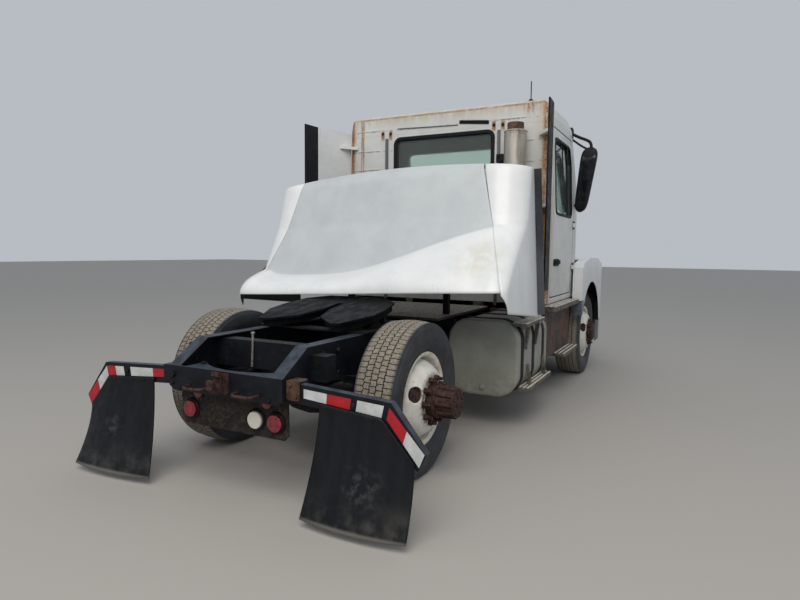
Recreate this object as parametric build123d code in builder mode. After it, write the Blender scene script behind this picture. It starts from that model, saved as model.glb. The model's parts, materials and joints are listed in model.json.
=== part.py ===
from build123d import *
import os
from math import cos, radians, sin, sqrt

# Two-axle day-cab road tractor, in millimetres.
# +Y is forward, +X is the right side, and Z = 0 is the ground under the tyres.

# Running gear
WHEELBASE = 3946
REAR_Y = -2000
FRONT_Y = REAR_Y + WHEELBASE
TYRE_R = 505
TYRE_W = 284
AXLE_Z = TYRE_R
BEAD_R = 288
RIM_LIP_R = 306
RIM_HALF_W = 116
RIM_WALL = 9
DISC_OFFSET = 168
DISC_T = 12
PILOT_R = 110
STUD_COUNT = 10
STUD_PCD = 285.75
STUD_R = 11
STUD_REACH = 52
HUB_REACH = {"front": 232, "rear": 346}
HAND_HOLE_COUNT = 10
REAR_TRACK_X = 752
FRONT_TRACK_X = 1060
DRUM_R = 215
DRUM_T = 16
DRUM_W = 220
SPINDLE_R = 50
RUN_FIT = 0.05
SEAT_GAP = 0.3
MOVE_GAP = 6

# Frame
RAIL_OUT_X = 432
RAIL_FLANGE = 89
RAIL_TOP = 900
RAIL_H = 266
RAIL_T = 8
RAIL_REAR_Y = -2895
RAIL_FRONT_Y = 2900
RAIL_KNEE_Y = -2670
RAIL_TAIL_Z = 758

# Cab
CAB_BACK_Y = 230
CAB_BOTTOM = 960
CAB_WALL = 60
CAB_HALF_W = 1130
CAB_EAVE_HALF_W = 1092
CAB_ROOF_Z = 2912
SHIELD_FOOT = (1660, 1780)
SHIELD_HEAD = (1250, 2790)
FIREWALL_Y = 1500
GLASS_T = 6
DOOR_REAR_Y = 340
DOOR_FRONT_Y = 1290
DOOR_BOTTOM = 1000
DOOR_TOP = 2660
ROOF_SPLIT_Z = DOOR_TOP + 30
DOOR_GAP = 10
DOOR_REAR_GAP = 14
DOOR_R = 40

# Hood, measured to the outside of its moulded skin
HOOD_T = 12
HOOD_REAR_Y = 1680
HOOD_FRONT_Y = 2990
HOOD_BOTTOM = 618
FENDER_X = 1250
FENDER_TAIL_Y = 1330
ARCH_R = 610
HINGE_Y = HOOD_FRONT_Y + 10
HINGE_Z = 640

# Fairing behind the cab
FAIR_HALF_W = 1220
FAIR_T = 10
FAIR_CROWN_Z = 2165
FAIR_EAVE_Z = 2080
FAIR_LIP_Y = -1500
FAIR_LIP_Z = 1120
SEAM_GAP = 0.6

# Coupling
PIVOT_Y = -1700
PIVOT_Z = 960
COUPLING_REST_DEG = 8
KINGPIN_R = 25.4
COUPLING_TOP = 92

# Ends of the whole vehicle; the parts are saved with the origin midway between them
HOOK_REACH = 104
END_PLATE_T = 8
TAIL_Y = RAIL_REAR_Y - END_PLATE_T - HOOK_REACH
NOSE_Y = HOOD_FRONT_Y + 130
MIDDLE_Y = (TAIL_Y + NOSE_Y) / 2


def save(node, name):
    """Label a finished sub-part and write it under its node's name."""
    placed = Pos(0, -MIDDLE_Y, 0) * node.part
    placed.label = name
    export_step(placed, "parts/" + name + ".step")


def wheel_plane(side, x, y=REAR_Y):
    """Plane whose X runs outboard along the axle and whose Y is the wheel's radius."""
    return Plane(origin=(side * x, y, AXLE_Z), x_dir=(side, 0, 0), z_dir=(0, -side, 0))


os.makedirs("parts", exist_ok=True)
SIDES = (("left", -1), ("right", 1))
AXLES = (("front", FRONT_Y, FRONT_TRACK_X), ("rear", REAR_Y, REAR_TRACK_X))

# Tyre section: outboard distance from the middle, radius
TYRE_SECTION = (
    (96, BEAD_R + SEAT_GAP),
    (110, RIM_LIP_R + 8),
    (TYRE_W / 2, 400),
    (TYRE_W / 2 - 6, 465),
    (TYRE_W / 2 - 24, TYRE_R - 8),
    (TYRE_W / 2 - 40, TYRE_R),
)
# Rim section, outside line from the inboard lip to the outboard lip
RIM_OUTSIDE = (
    (-RIM_HALF_W, RIM_LIP_R),
    (-RIM_HALF_W + 10, RIM_LIP_R),
    (-104, BEAD_R - 1),
    (-62, BEAD_R - 3),
    (-46, 264),
    (24, 264),
    (58, BEAD_R - 3),
    (104, BEAD_R - 1),
    (RIM_HALF_W - 10, RIM_LIP_R),
    (RIM_HALF_W, RIM_LIP_R),
)
# Rim section, inside line from the outboard lip to the inboard lip
RIM_INSIDE = (
    (RIM_HALF_W, RIM_LIP_R - 18),
    (RIM_HALF_W - 10, BEAD_R - 1 - RIM_WALL),
    (60, BEAD_R - 3 - RIM_WALL),
    (26, 264 - RIM_WALL),
    (-48, 264 - RIM_WALL),
    (-64, BEAD_R - 3 - RIM_WALL),
    (-RIM_HALF_W + 10, BEAD_R - 1 - RIM_WALL),
    (-RIM_HALF_W, RIM_LIP_R - 18),
)
# Disc section from the rim to the pilot bore, outboard face
DISC_FACE = (
    (34, 262),
    (92, 246),
    (142, 214),
    (DISC_OFFSET, 178),
    (DISC_OFFSET, PILOT_R),
)

for axle, axle_y, track_x in AXLES:
    for side_name, side in SIDES:
        plane = wheel_plane(side, track_x, axle_y)
        spin = Axis((side * track_x, axle_y, AXLE_Z), (side, 0, 0))

        with BuildPart() as tyre:
            with BuildSketch(plane):
                with BuildLine():
                    outline = [(a, r) for a, r in TYRE_SECTION]
                    outline += [(-a, r) for a, r in reversed(TYRE_SECTION)]
                    Polyline(outline, close=True)
                make_face()
            revolve(axis=spin)
        save(tyre, "tyre_" + axle + "_" + side_name)

        with BuildPart() as wheel:
            with BuildSketch(plane):
                with BuildLine():
                    Polyline(RIM_OUTSIDE + RIM_INSIDE, close=True)
                make_face()
                with BuildLine():
                    back = [(a - DISC_T, r - 4) for a, r in reversed(DISC_FACE[:-1])]
                    back = [(DISC_OFFSET - DISC_T, PILOT_R)] + back
                    Polyline(list(DISC_FACE) + back, close=True)
                make_face()
            revolve(axis=spin)
            face_plane = Plane(
                origin=(side * (track_x + DISC_OFFSET), axle_y, AXLE_Z),
                x_dir=(0, 1, 0), z_dir=(side, 0, 0),
            )
            with BuildSketch(face_plane):
                with PolarLocations(STUD_PCD / 2, STUD_COUNT):
                    Circle(STUD_R + 2)
                with PolarLocations(214, HAND_HOLE_COUNT, start_angle=18):
                    SlotOverall(64, 38, rotation=90)
            extrude(amount=-110, mode=Mode.SUBTRACT)
        # Hub with its brake drum, studs and the barrel or cap past the disc.
        # Columns: outboard distance, radius
        seat_a = DISC_OFFSET - DISC_T
        reach_a = HUB_REACH[axle]
        HUB_PROFILE = (
            (seat_a - DRUM_W, DRUM_R - DRUM_T),
            (seat_a - DRUM_W, DRUM_R),
            (seat_a - 50, DRUM_R),
            (seat_a - 12, PILOT_R + 56),
            (seat_a, PILOT_R + 56),
            (seat_a, PILOT_R - 0.5),
            (seat_a + 62, PILOT_R - 0.5),
            (seat_a + 74, 92),
            (reach_a - 18, 88),
            (reach_a, 72),
            (reach_a, 0),
            (reach_a - 30, 0),
            (reach_a - 30, SPINDLE_R + RUN_FIT),
            (seat_a - 136, SPINDLE_R + RUN_FIT),
            (seat_a - 136, 80),
            (seat_a - 66, 80),
            (seat_a - 66, DRUM_R - DRUM_T),
        )
        with BuildPart() as hub:
            with BuildSketch(plane):
                with BuildLine():
                    Polyline(HUB_PROFILE, close=True)
                make_face()
            revolve(axis=spin)
            with BuildSketch(face_plane.offset(-DISC_T)):
                with PolarLocations(STUD_PCD / 2, STUD_COUNT):
                    Circle(STUD_R)
            extrude(amount=DISC_T + STUD_REACH)
        if axle == "rear":
            save(wheel, "wheel_rear_" + side_name)
            save(hub, "hub_rear_" + side_name)
        else:
            with BuildPart() as wheel_on_hub:
                add(wheel.part)
                add(hub.part)
            save(wheel_on_hub, "wheel_front_" + side_name)

# Frame rails: channel sections that open inwards, cut down at the tail
RAIL_OUTLINE = (
    (RAIL_REAR_Y, RAIL_TOP - RAIL_H),
    (RAIL_FRONT_Y, RAIL_TOP - RAIL_H),
    (RAIL_FRONT_Y, RAIL_TOP),
    (RAIL_KNEE_Y, RAIL_TOP),
    (RAIL_REAR_Y, RAIL_TAIL_Z),
)
with BuildPart() as frame_rails:
    with BuildSketch(Plane.YZ.offset(RAIL_OUT_X - RAIL_FLANGE)):
        with BuildLine():
            Polyline(RAIL_OUTLINE, close=True)
        make_face()
    extrude(amount=RAIL_FLANGE)
    with BuildSketch(Plane.YZ.offset(RAIL_OUT_X - RAIL_FLANGE)):
        with BuildLine():
            Polyline(
                (RAIL_REAR_Y - 50, RAIL_TOP - RAIL_H + RAIL_T),
                (RAIL_FRONT_Y + 50, RAIL_TOP - RAIL_H + RAIL_T),
                (RAIL_FRONT_Y + 50, RAIL_TOP - RAIL_T),
                (RAIL_KNEE_Y, RAIL_TOP - RAIL_T),
                (RAIL_REAR_Y - 50, RAIL_TAIL_Z - RAIL_T - 32),
                close=True,
            )
        make_face()
    extrude(amount=RAIL_FLANGE - RAIL_T, mode=Mode.SUBTRACT)
    mirror(about=Plane.YZ)
save(frame_rails, "frame_rails")

# Cross members between the webs. Columns: middle y, underside z, depth along y
CROSSMEMBERS = (
    (-2480, 700, 90),
    (-1480, 730, 100),
    (-620, 730, 100),
    (360, 770, 90),
    (2790, 660, 110),
)
with BuildPart() as crossmembers:
    for member_y, low_z, depth in CROSSMEMBERS:
        span = RAIL_OUT_X - RAIL_T - SEAT_GAP
        with BuildSketch(Plane.XZ.offset(-member_y - depth / 2)):
            with BuildLine():
                Polyline(
                    (-span, low_z), (span, low_z),
                    (span, RAIL_TOP - RAIL_T - 14), (-span, RAIL_TOP - RAIL_T - 14),
                    close=True,
                )
            make_face()
        extrude(amount=depth)
        with BuildSketch(Plane.XZ.offset(-member_y - depth / 2 - 8)):
            with Locations((0, (low_z + RAIL_TOP - RAIL_T - 14) / 2)):
                Rectangle(2 * span + 2, RAIL_TOP - RAIL_T - 14 - low_z - 16)
        extrude(amount=depth, mode=Mode.SUBTRACT)
save(crossmembers, "crossmembers")

# Rear cross member: end plate with a top flange whose front edge is cut in a bow
END_PLATE_LOW = 606
FLANGE_TOP = 748
with BuildPart() as rear_crossmember:
    with BuildSketch(Plane.XZ.offset(-RAIL_REAR_Y)):
        with BuildLine():
            Polyline(
                (-RAIL_OUT_X, END_PLATE_LOW + 24), (-RAIL_OUT_X + 40, END_PLATE_LOW),
                (RAIL_OUT_X - 40, END_PLATE_LOW), (RAIL_OUT_X, END_PLATE_LOW + 24),
                (RAIL_OUT_X, RAIL_TAIL_Z), (-RAIL_OUT_X, RAIL_TAIL_Z), close=True,
            )
        make_face()
    extrude(amount=END_PLATE_T)
    flange_x = RAIL_OUT_X - RAIL_FLANGE - 1
    with BuildSketch(Plane.XY.offset(FLANGE_TOP - END_PLATE_T)):
        with BuildLine():
            Polyline(
                (-flange_x, RAIL_REAR_Y + 210), (-flange_x, RAIL_REAR_Y),
                (flange_x, RAIL_REAR_Y), (flange_x, RAIL_REAR_Y + 210),
            )
            ThreePointArc(
                (flange_x, RAIL_REAR_Y + 210), (0, RAIL_REAR_Y + 70),
                (-flange_x, RAIL_REAR_Y + 210),
            )
        make_face()
    extrude(amount=END_PLATE_T)
save(rear_crossmember, "rear_crossmember")

# Pintle hook in the middle of the end plate and a bent rod loop on each side
HOOK_Z = 690
PLATE_BACK_Y = RAIL_REAR_Y - END_PLATE_T
LOOP_X = 190
with BuildPart() as tow_hook:
    with BuildSketch(Plane.XZ.offset(-PLATE_BACK_Y + SEAT_GAP)):
        with Locations((0, HOOK_Z)):
            RectangleRounded(110, 120, 14)
    extrude(amount=16)
    with BuildSketch(Plane.YZ.offset(-24)):
        with BuildLine():
            Polyline(
                (PLATE_BACK_Y - 10, HOOK_Z - 46), (PLATE_BACK_Y - 60, HOOK_Z - 52),
                (TAIL_Y, HOOK_Z - 24), (TAIL_Y, HOOK_Z + 30),
                (PLATE_BACK_Y - 78, HOOK_Z + 30), (PLATE_BACK_Y - 74, HOOK_Z - 4),
                (PLATE_BACK_Y - 46, HOOK_Z - 14), (PLATE_BACK_Y - 34, HOOK_Z + 6),
                (PLATE_BACK_Y - 34, HOOK_Z + 34), (PLATE_BACK_Y - 62, HOOK_Z + 50),
                (PLATE_BACK_Y - 56, HOOK_Z + 76), (PLATE_BACK_Y - 10, HOOK_Z + 62),
                close=True,
            )
        make_face()
    extrude(amount=48)
    for side_name, side in SIDES:
        with BuildLine() as loop_path:
            FilletPolyline(
                (side * LOOP_X - 76, PLATE_BACK_Y - SEAT_GAP, HOOK_Z - 44),
                (side * LOOP_X - 76, PLATE_BACK_Y - 70, HOOK_Z - 44),
                (side * LOOP_X + 76, PLATE_BACK_Y - 70, HOOK_Z - 44),
                (side * LOOP_X + 76, PLATE_BACK_Y - SEAT_GAP, HOOK_Z - 44),
                radius=46,
            )
        with BuildSketch(Plane(origin=loop_path.line @ 0, z_dir=loop_path.line % 0)):
            Circle(9)
        sweep(path=loop_path.line)
save(tow_hook, "tow_hook")

# Lamp panel hung under the rails a little in front of the end plate, and its lamps
PANEL_Z = (384, RAIL_TOP - RAIL_H - SEAT_GAP)
PANEL_T = 6
PANEL_HALF_W = 413
PANEL_Y = -2822
with BuildPart() as lamp_panel:
    with BuildSketch(Plane.XZ.offset(-PANEL_Y - PANEL_T)):
        with BuildLine():
            Polyline(
                (-PANEL_HALF_W, PANEL_Z[0] + 30), (-PANEL_HALF_W + 30, PANEL_Z[0]),
                (PANEL_HALF_W - 30, PANEL_Z[0]), (PANEL_HALF_W, PANEL_Z[0] + 30),
                (PANEL_HALF_W, PANEL_Z[1]), (-PANEL_HALF_W, PANEL_Z[1]), close=True,
            )
        make_face()
    extrude(amount=PANEL_T)
    for low_z, flange_w in ((PANEL_Z[0], 700), (PANEL_Z[1] - PANEL_T, 2 * PANEL_HALF_W)):
        with BuildSketch(Plane.XY.offset(low_z)):
            with Locations((0, PANEL_Y + PANEL_T + 20)):
                Rectangle(flange_w, 40)
        extrude(amount=PANEL_T)
save(lamp_panel, "lamp_panel")

LAMP_R = 50
LAMP_X = 327
BACKUP_X = 183
LAMP_Z = 482
MARKER_X = 266
MARKER_Z = 587
with BuildPart() as tail_lamps:
    with BuildSketch(Plane.XZ.offset(-PANEL_Y + SEAT_GAP)):
        with Locations((-LAMP_X, LAMP_Z), (LAMP_X, LAMP_Z), (BACKUP_X, LAMP_Z)):
            Circle(LAMP_R)
    extrude(amount=28)
    with BuildSketch(Plane.XZ.offset(-PANEL_Y + SEAT_GAP)):
        with Locations((-MARKER_X, MARKER_Z), (MARKER_X, MARKER_Z)):
            Circle(32)
    extrude(amount=18)
    fillet(tail_lamps.faces().sort_by(Axis.Y)[:5].edges(), radius=6)
save(tail_lamps, "tail_lamps")

# Flap hangers: a bent flat bar with a flange along its top edge, on a socket beside the rail
HANGER_Y = -2850
HANGER_T = 8
HANGER_DEPTH = 48
HANGER_IN_X = RAIL_OUT_X + SEAT_GAP
HANGER_TOP = ((HANGER_IN_X, 738), (1078, 702), (1274, 462))
HANGER_LOW = ((1228, 372), (1036, 588), (HANGER_IN_X, 628))
SOCKET_X = 522
with BuildPart() as flap_hangers:
    with BuildSketch(Plane.XZ.offset(-HANGER_Y)):
        with BuildLine():
            Polyline(HANGER_TOP + HANGER_LOW, close=True)
        make_face()
    extrude(amount=HANGER_T)
    with BuildSketch(Plane.XZ.offset(HANGER_T - HANGER_DEPTH - HANGER_Y)):
        with BuildLine():
            Polyline(
                HANGER_TOP[0], HANGER_TOP[1], HANGER_TOP[2],
                (HANGER_TOP[2][0] - 10, HANGER_TOP[2][1] - 6),
                (HANGER_TOP[1][0] - 5, HANGER_TOP[1][1] - 9),
                (HANGER_TOP[0][0], HANGER_TOP[0][1] - 9),
                close=True,
            )
        make_face()
    extrude(amount=HANGER_DEPTH)
    with BuildSketch(Plane.YZ.offset(HANGER_IN_X)):
        with Locations((HANGER_Y + 22, 695)):
            Rectangle(76, 100)
    extrude(amount=SOCKET_X - HANGER_IN_X)
    mirror(about=Plane.YZ)
save(flap_hangers, "flap_hangers")

# Rubber flaps that lean rearwards towards their lower edge
FLAP_T = 9
FLAP_X = (596, 1216)
FLAP_LOW = 46
FLAP_TOP = 650
FLAP_FOOT_Y = -2958
with BuildPart() as mud_flaps:
    with BuildSketch(Plane.YZ.offset(FLAP_X[0])):
        with BuildLine():
            flap_back = HANGER_Y - HANGER_T - SEAT_GAP
            Polyline(
                (flap_back, FLAP_TOP), (flap_back, FLAP_TOP - 250),
                (FLAP_FOOT_Y + FLAP_T, FLAP_LOW), (FLAP_FOOT_Y, FLAP_LOW),
                (flap_back - FLAP_T, FLAP_TOP - 252), (flap_back - FLAP_T, FLAP_TOP),
                close=True,
            )
        make_face()
    extrude(amount=FLAP_X[1] - FLAP_X[0])
    with BuildSketch(Plane.XZ.offset(-flap_back - 20)):
        with BuildLine():
            Polyline(
                (FLAP_X[0], FLAP_LOW), (FLAP_X[1], FLAP_LOW), (FLAP_X[1], 410),
                (1030, FLAP_TOP - 32), (FLAP_X[0], FLAP_TOP), close=True,
            )
        make_face()
    extrude(amount=400, mode=Mode.INTERSECT)
    mirror(about=Plane.YZ)
save(mud_flaps, "mud_flaps")

# Rear axle housing with its drive head, pinion nose, spindles and brake chambers
HOUSING = (
    (0, 0), (0, 205), (120, 190), (205, 112), (340, 76), (600, 70), (646, SPINDLE_R),
    (REAR_TRACK_X + HUB_REACH["rear"] - 44, SPINDLE_R),
    (REAR_TRACK_X + HUB_REACH["rear"] - 44, 0),
)
with BuildPart() as rear_axle:
    with BuildSketch(Plane(origin=(0, REAR_Y, AXLE_Z), x_dir=(1, 0, 0), z_dir=(0, -1, 0))):
        with BuildLine():
            Polyline(HOUSING, close=True)
        make_face()
    revolve(axis=Axis((0, REAR_Y, AXLE_Z), (1, 0, 0)))
    mirror(about=Plane.YZ)
    with BuildSketch(Plane.XZ.offset(-REAR_Y - 420)):
        with Locations((0, AXLE_Z)):
            Circle(92)
    extrude(amount=300)
    with BuildSketch(Plane.XZ.offset(-REAR_Y - 330)):
        with Locations((-250, AXLE_Z + 100), (250, AXLE_Z + 100)):
            Circle(74)
    extrude(amount=290)
save(rear_axle, "rear_axle")

# Leaf springs. Columns: name, x, y, seat z, sag, hanger x, hanger low z, hanger high z
LEAF_T = 16
LEAF_W = 76
SPRINGS = (
    ("rear", 490, REAR_Y, AXLE_Z + 74 + SEAT_GAP, 120, 486, 700, 850),
    ("front", 387, FRONT_Y, 495 + SEAT_GAP, 76, 387, 580, RAIL_TOP - RAIL_H - SEAT_GAP),
)
with BuildPart() as leaf_springs:
    for spring, spring_x, spring_y, seat_z, sag, hanger_x, low_z, high_z in SPRINGS:
        with BuildSketch(Plane.YZ.offset(spring_x - LEAF_W / 2)):
            for leaf, half_len in enumerate((330, 460, 590)):
                base = seat_z + 14 + leaf * LEAF_T
                rise = sag * (half_len / 590) ** 2
                with BuildLine():
                    ThreePointArc(
                        (spring_y - half_len, base + rise), (spring_y, base),
                        (spring_y + half_len, base + rise),
                    )
                    Line((spring_y + half_len, base + rise), (spring_y + half_len, base + rise + LEAF_T))
                    ThreePointArc(
                        (spring_y + half_len, base + rise + LEAF_T), (spring_y, base + LEAF_T),
                        (spring_y - half_len, base + rise + LEAF_T),
                    )
                    Line((spring_y - half_len, base + rise + LEAF_T), (spring_y - half_len, base + rise))
                make_face()
            with Locations((spring_y, seat_z + 10)):
                Rectangle(150, 20)
        extrude(amount=LEAF_W)
        for end in (-1, 1):
            with BuildSketch(Plane.XY.offset(low_z)):
                with Locations((hanger_x, spring_y + end * 590)):
                    Rectangle(2 * (hanger_x - RAIL_OUT_X - SEAT_GAP) if spring == "rear" else 84, 100)
            extrude(amount=high_z - low_z)
    mirror(about=Plane.YZ)
save(leaf_springs, "leaf_springs")

# Propeller shaft from the gearbox to the pinion nose
BOX_REAR_Y = 640
SHAFT_Z = 700
with BuildPart() as drive_shaft:
    shaft_front = Vector(0, BOX_REAR_Y - SEAT_GAP, SHAFT_Z)
    shaft_rear = Vector(0, REAR_Y + 420 + SEAT_GAP, AXLE_Z)
    run = (shaft_rear - shaft_front).normalized()
    with BuildSketch(Plane(origin=shaft_front + run * 60, z_dir=run)):
        Circle(54)
    extrude(amount=(shaft_rear - shaft_front).length - 120)
    for end, end_y in ((shaft_front, 0), (shaft_rear, 1)):
        with BuildSketch(Plane.XZ.offset(-end.Y - end_y * 100)):
            with Locations((0, end.Z)):
                Circle(66)
        extrude(amount=100)
save(drive_shaft, "drive_shaft")

# Engine, bell housing and gearbox as one plain block on the rails' centre line
with BuildPart() as engine:
    with BuildSketch(Plane.YZ.offset(-320)):
        with BuildLine():
            Polyline(
                (1660, 560), (2640, 560), (2640, 1440), (1660, 1440), close=True,
            )
        make_face()
    extrude(amount=640)
    chamfer(engine.edges().filter_by(Axis.Y), length=70)
    with BuildSketch(Plane.XZ.offset(-1670)):
        with Locations((0, SHAFT_Z + 40)):
            Circle(206)
    extrude(amount=200)
    with BuildSketch(Plane.XZ.offset(-1480)):
        with Locations((0, SHAFT_Z + 10)):
            Circle(190)
    extrude(amount=1480 - BOX_REAR_Y)
    with BuildSketch(Plane.XY.offset(SHAFT_Z - 60)):
        with Locations((0, 1560)):
            Rectangle(2 * (RAIL_OUT_X - RAIL_FLANGE - SEAT_GAP), 90)
    extrude(amount=120)
save(engine, "engine")

with BuildPart() as radiator:
    with BuildSketch(Plane.XZ.offset(-2830)):
        with Locations((0, 1095)):
            Rectangle(640, 410)
    extrude(amount=80)
    with BuildSketch(Plane.XZ.offset(-2835)):
        with Locations((0, 1290), (0, RAIL_TOP - RAIL_T - 14 + SEAT_GAP + 12)):
            Rectangle(660, 24)
    extrude(amount=90)
save(radiator, "radiator")

# Front axle beam: dropped middle, spring pads and kingpin eyes
KINGPIN_X = 920
EYE_R = 58
EYE_Z = (450, 560)
PIN_R = 25
with BuildPart() as front_axle:
    with BuildSketch(Plane.XZ.offset(-FRONT_Y - 45)):
        with BuildLine():
            Polyline(
                (0, 400), (420, 400), (700, 432), (840, 452), (880, 452), (880, 556), (770, 545),
                (540, 495), (0, 495), close=True,
            )
        make_face()
    extrude(amount=90)
    with BuildSketch(Plane.XY.offset(EYE_Z[0])):
        with Locations((KINGPIN_X, FRONT_Y)):
            Circle(EYE_R)
    extrude(amount=EYE_Z[1] - EYE_Z[0])
    with BuildSketch(Plane.XY.offset(EYE_Z[0])):
        with Locations((KINGPIN_X, FRONT_Y)):
            Circle(PIN_R + RUN_FIT)
    extrude(amount=EYE_Z[1] - EYE_Z[0], mode=Mode.SUBTRACT)
    mirror(about=Plane.YZ)
save(front_axle, "front_axle")

# Steering knuckles: yoke plates over and under the eye, kingpin, spindle, steering arm
YOKE_T = 32
YOKE_LOW = EYE_Z[0] - MOVE_GAP - 6 - YOKE_T
YOKE_HIGH = EYE_Z[1] + MOVE_GAP
WEB_X = 988
ARM_X = KINGPIN_X
ARM_Y = FRONT_Y - 200
TIE_PIN_R = 12
for side_name, side in SIDES:
    with BuildPart() as knuckle:
        for plate_z in (YOKE_LOW, YOKE_HIGH):
            with BuildSketch(Plane.XY.offset(plate_z)):
                with Locations((side * KINGPIN_X, FRONT_Y)):
                    Circle(54)
                with Locations((side * (KINGPIN_X + WEB_X + 28) / 2, FRONT_Y)):
                    Rectangle(WEB_X + 28 - KINGPIN_X, 108)
            extrude(amount=YOKE_T)
        with BuildSketch(Plane.XY.offset(YOKE_LOW)):
            with Locations((side * (WEB_X + 14), FRONT_Y)):
                Rectangle(28, 170)
        extrude(amount=YOKE_HIGH + YOKE_T - YOKE_LOW)
        with BuildSketch(Plane.XY.offset(YOKE_LOW)):
            with Locations((side * KINGPIN_X, FRONT_Y)):
                Circle(PIN_R)
        extrude(amount=YOKE_HIGH + YOKE_T - YOKE_LOW)
        with BuildSketch(Plane.YZ.offset(side * (WEB_X + 14))):
            with Locations((FRONT_Y, AXLE_Z)):
                Circle(SPINDLE_R)
        extrude(amount=side * (FRONT_TRACK_X + HUB_REACH["front"] - 44 - WEB_X - 14))
        with BuildSketch(Plane.XY.offset(YOKE_LOW)):
            with BuildLine():
                Polyline(
                    (side * (KINGPIN_X - 34), FRONT_Y), (side * (KINGPIN_X + 34), FRONT_Y),
                    (side * (ARM_X + 26), ARM_Y), (side * (ARM_X - 26), ARM_Y), close=True,
                )
            make_face()
            with Locations((side * ARM_X, ARM_Y)):
                Circle(28)
                Circle(TIE_PIN_R + 2 * RUN_FIT, mode=Mode.SUBTRACT)
        extrude(amount=YOKE_T - 4)
    save(knuckle, "knuckle_" + side_name)

# Tie rod under the steering arms, with a stud up through each arm
TIE_R = 18
TIE_Z = YOKE_LOW - MOVE_GAP - TIE_R
with BuildPart() as tie_rod:
    with BuildSketch(Plane.YZ.offset(-ARM_X - 24)):
        with Locations((ARM_Y, TIE_Z)):
            Circle(TIE_R)
    extrude(amount=2 * (ARM_X + 24))
    with BuildSketch(Plane.XY.offset(TIE_Z)):
        with Locations((-ARM_X, ARM_Y), (ARM_X, ARM_Y)):
            Circle(TIE_PIN_R)
    extrude(amount=YOKE_LOW + YOKE_T + 6 - TIE_Z)
save(tie_rod, "tie_rod")

# Deck plate over the rails behind the cab
DECK_Z = RAIL_TOP + SEAT_GAP
DECK_T = 20
DECK_Y = (-1090, 170)
with BuildPart() as deck_plate:
    with BuildSketch(Plane.XY.offset(DECK_Z)):
        with Locations((0, sum(DECK_Y) / 2)):
            RectangleRounded(1120, DECK_Y[1] - DECK_Y[0], 20)
    extrude(amount=DECK_T)
save(deck_plate, "deck_plate")

# Coupling base: plate on the rails and two pedestals that carry the rocking pin
BASE_T = 14
PEDESTAL_X = 350
PEDESTAL_HALF = 28
ROCK_PIN_R = 22
with BuildPart() as coupling_mount:
    with BuildSketch(Plane.XY.offset(RAIL_TOP + SEAT_GAP)):
        with Locations((0, PIVOT_Y)):
            RectangleRounded(2 * RAIL_OUT_X + 60, 700, 40)
            RectangleRounded(520, 480, 60, mode=Mode.SUBTRACT)
    extrude(amount=BASE_T)
    with BuildSketch(Plane.YZ.offset(PEDESTAL_X - PEDESTAL_HALF)):
        with BuildLine():
            base_top = RAIL_TOP + SEAT_GAP + BASE_T
            Polyline(
                (PIVOT_Y - 200, base_top - 4), (PIVOT_Y - 60, PIVOT_Z + 4), (PIVOT_Y - 36, PIVOT_Z + 38),
                (PIVOT_Y + 36, PIVOT_Z + 38), (PIVOT_Y + 60, PIVOT_Z + 4), (PIVOT_Y + 200, base_top - 4),
                close=True,
            )
        make_face()
    extrude(amount=2 * PEDESTAL_HALF)
    with BuildSketch(Plane.YZ.offset(PEDESTAL_X - 60)):
        with Locations((PIVOT_Y, PIVOT_Z)):
            Circle(ROCK_PIN_R)
    extrude(amount=120)
    mirror(about=Plane.YZ)
save(coupling_mount, "coupling_mount")

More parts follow.
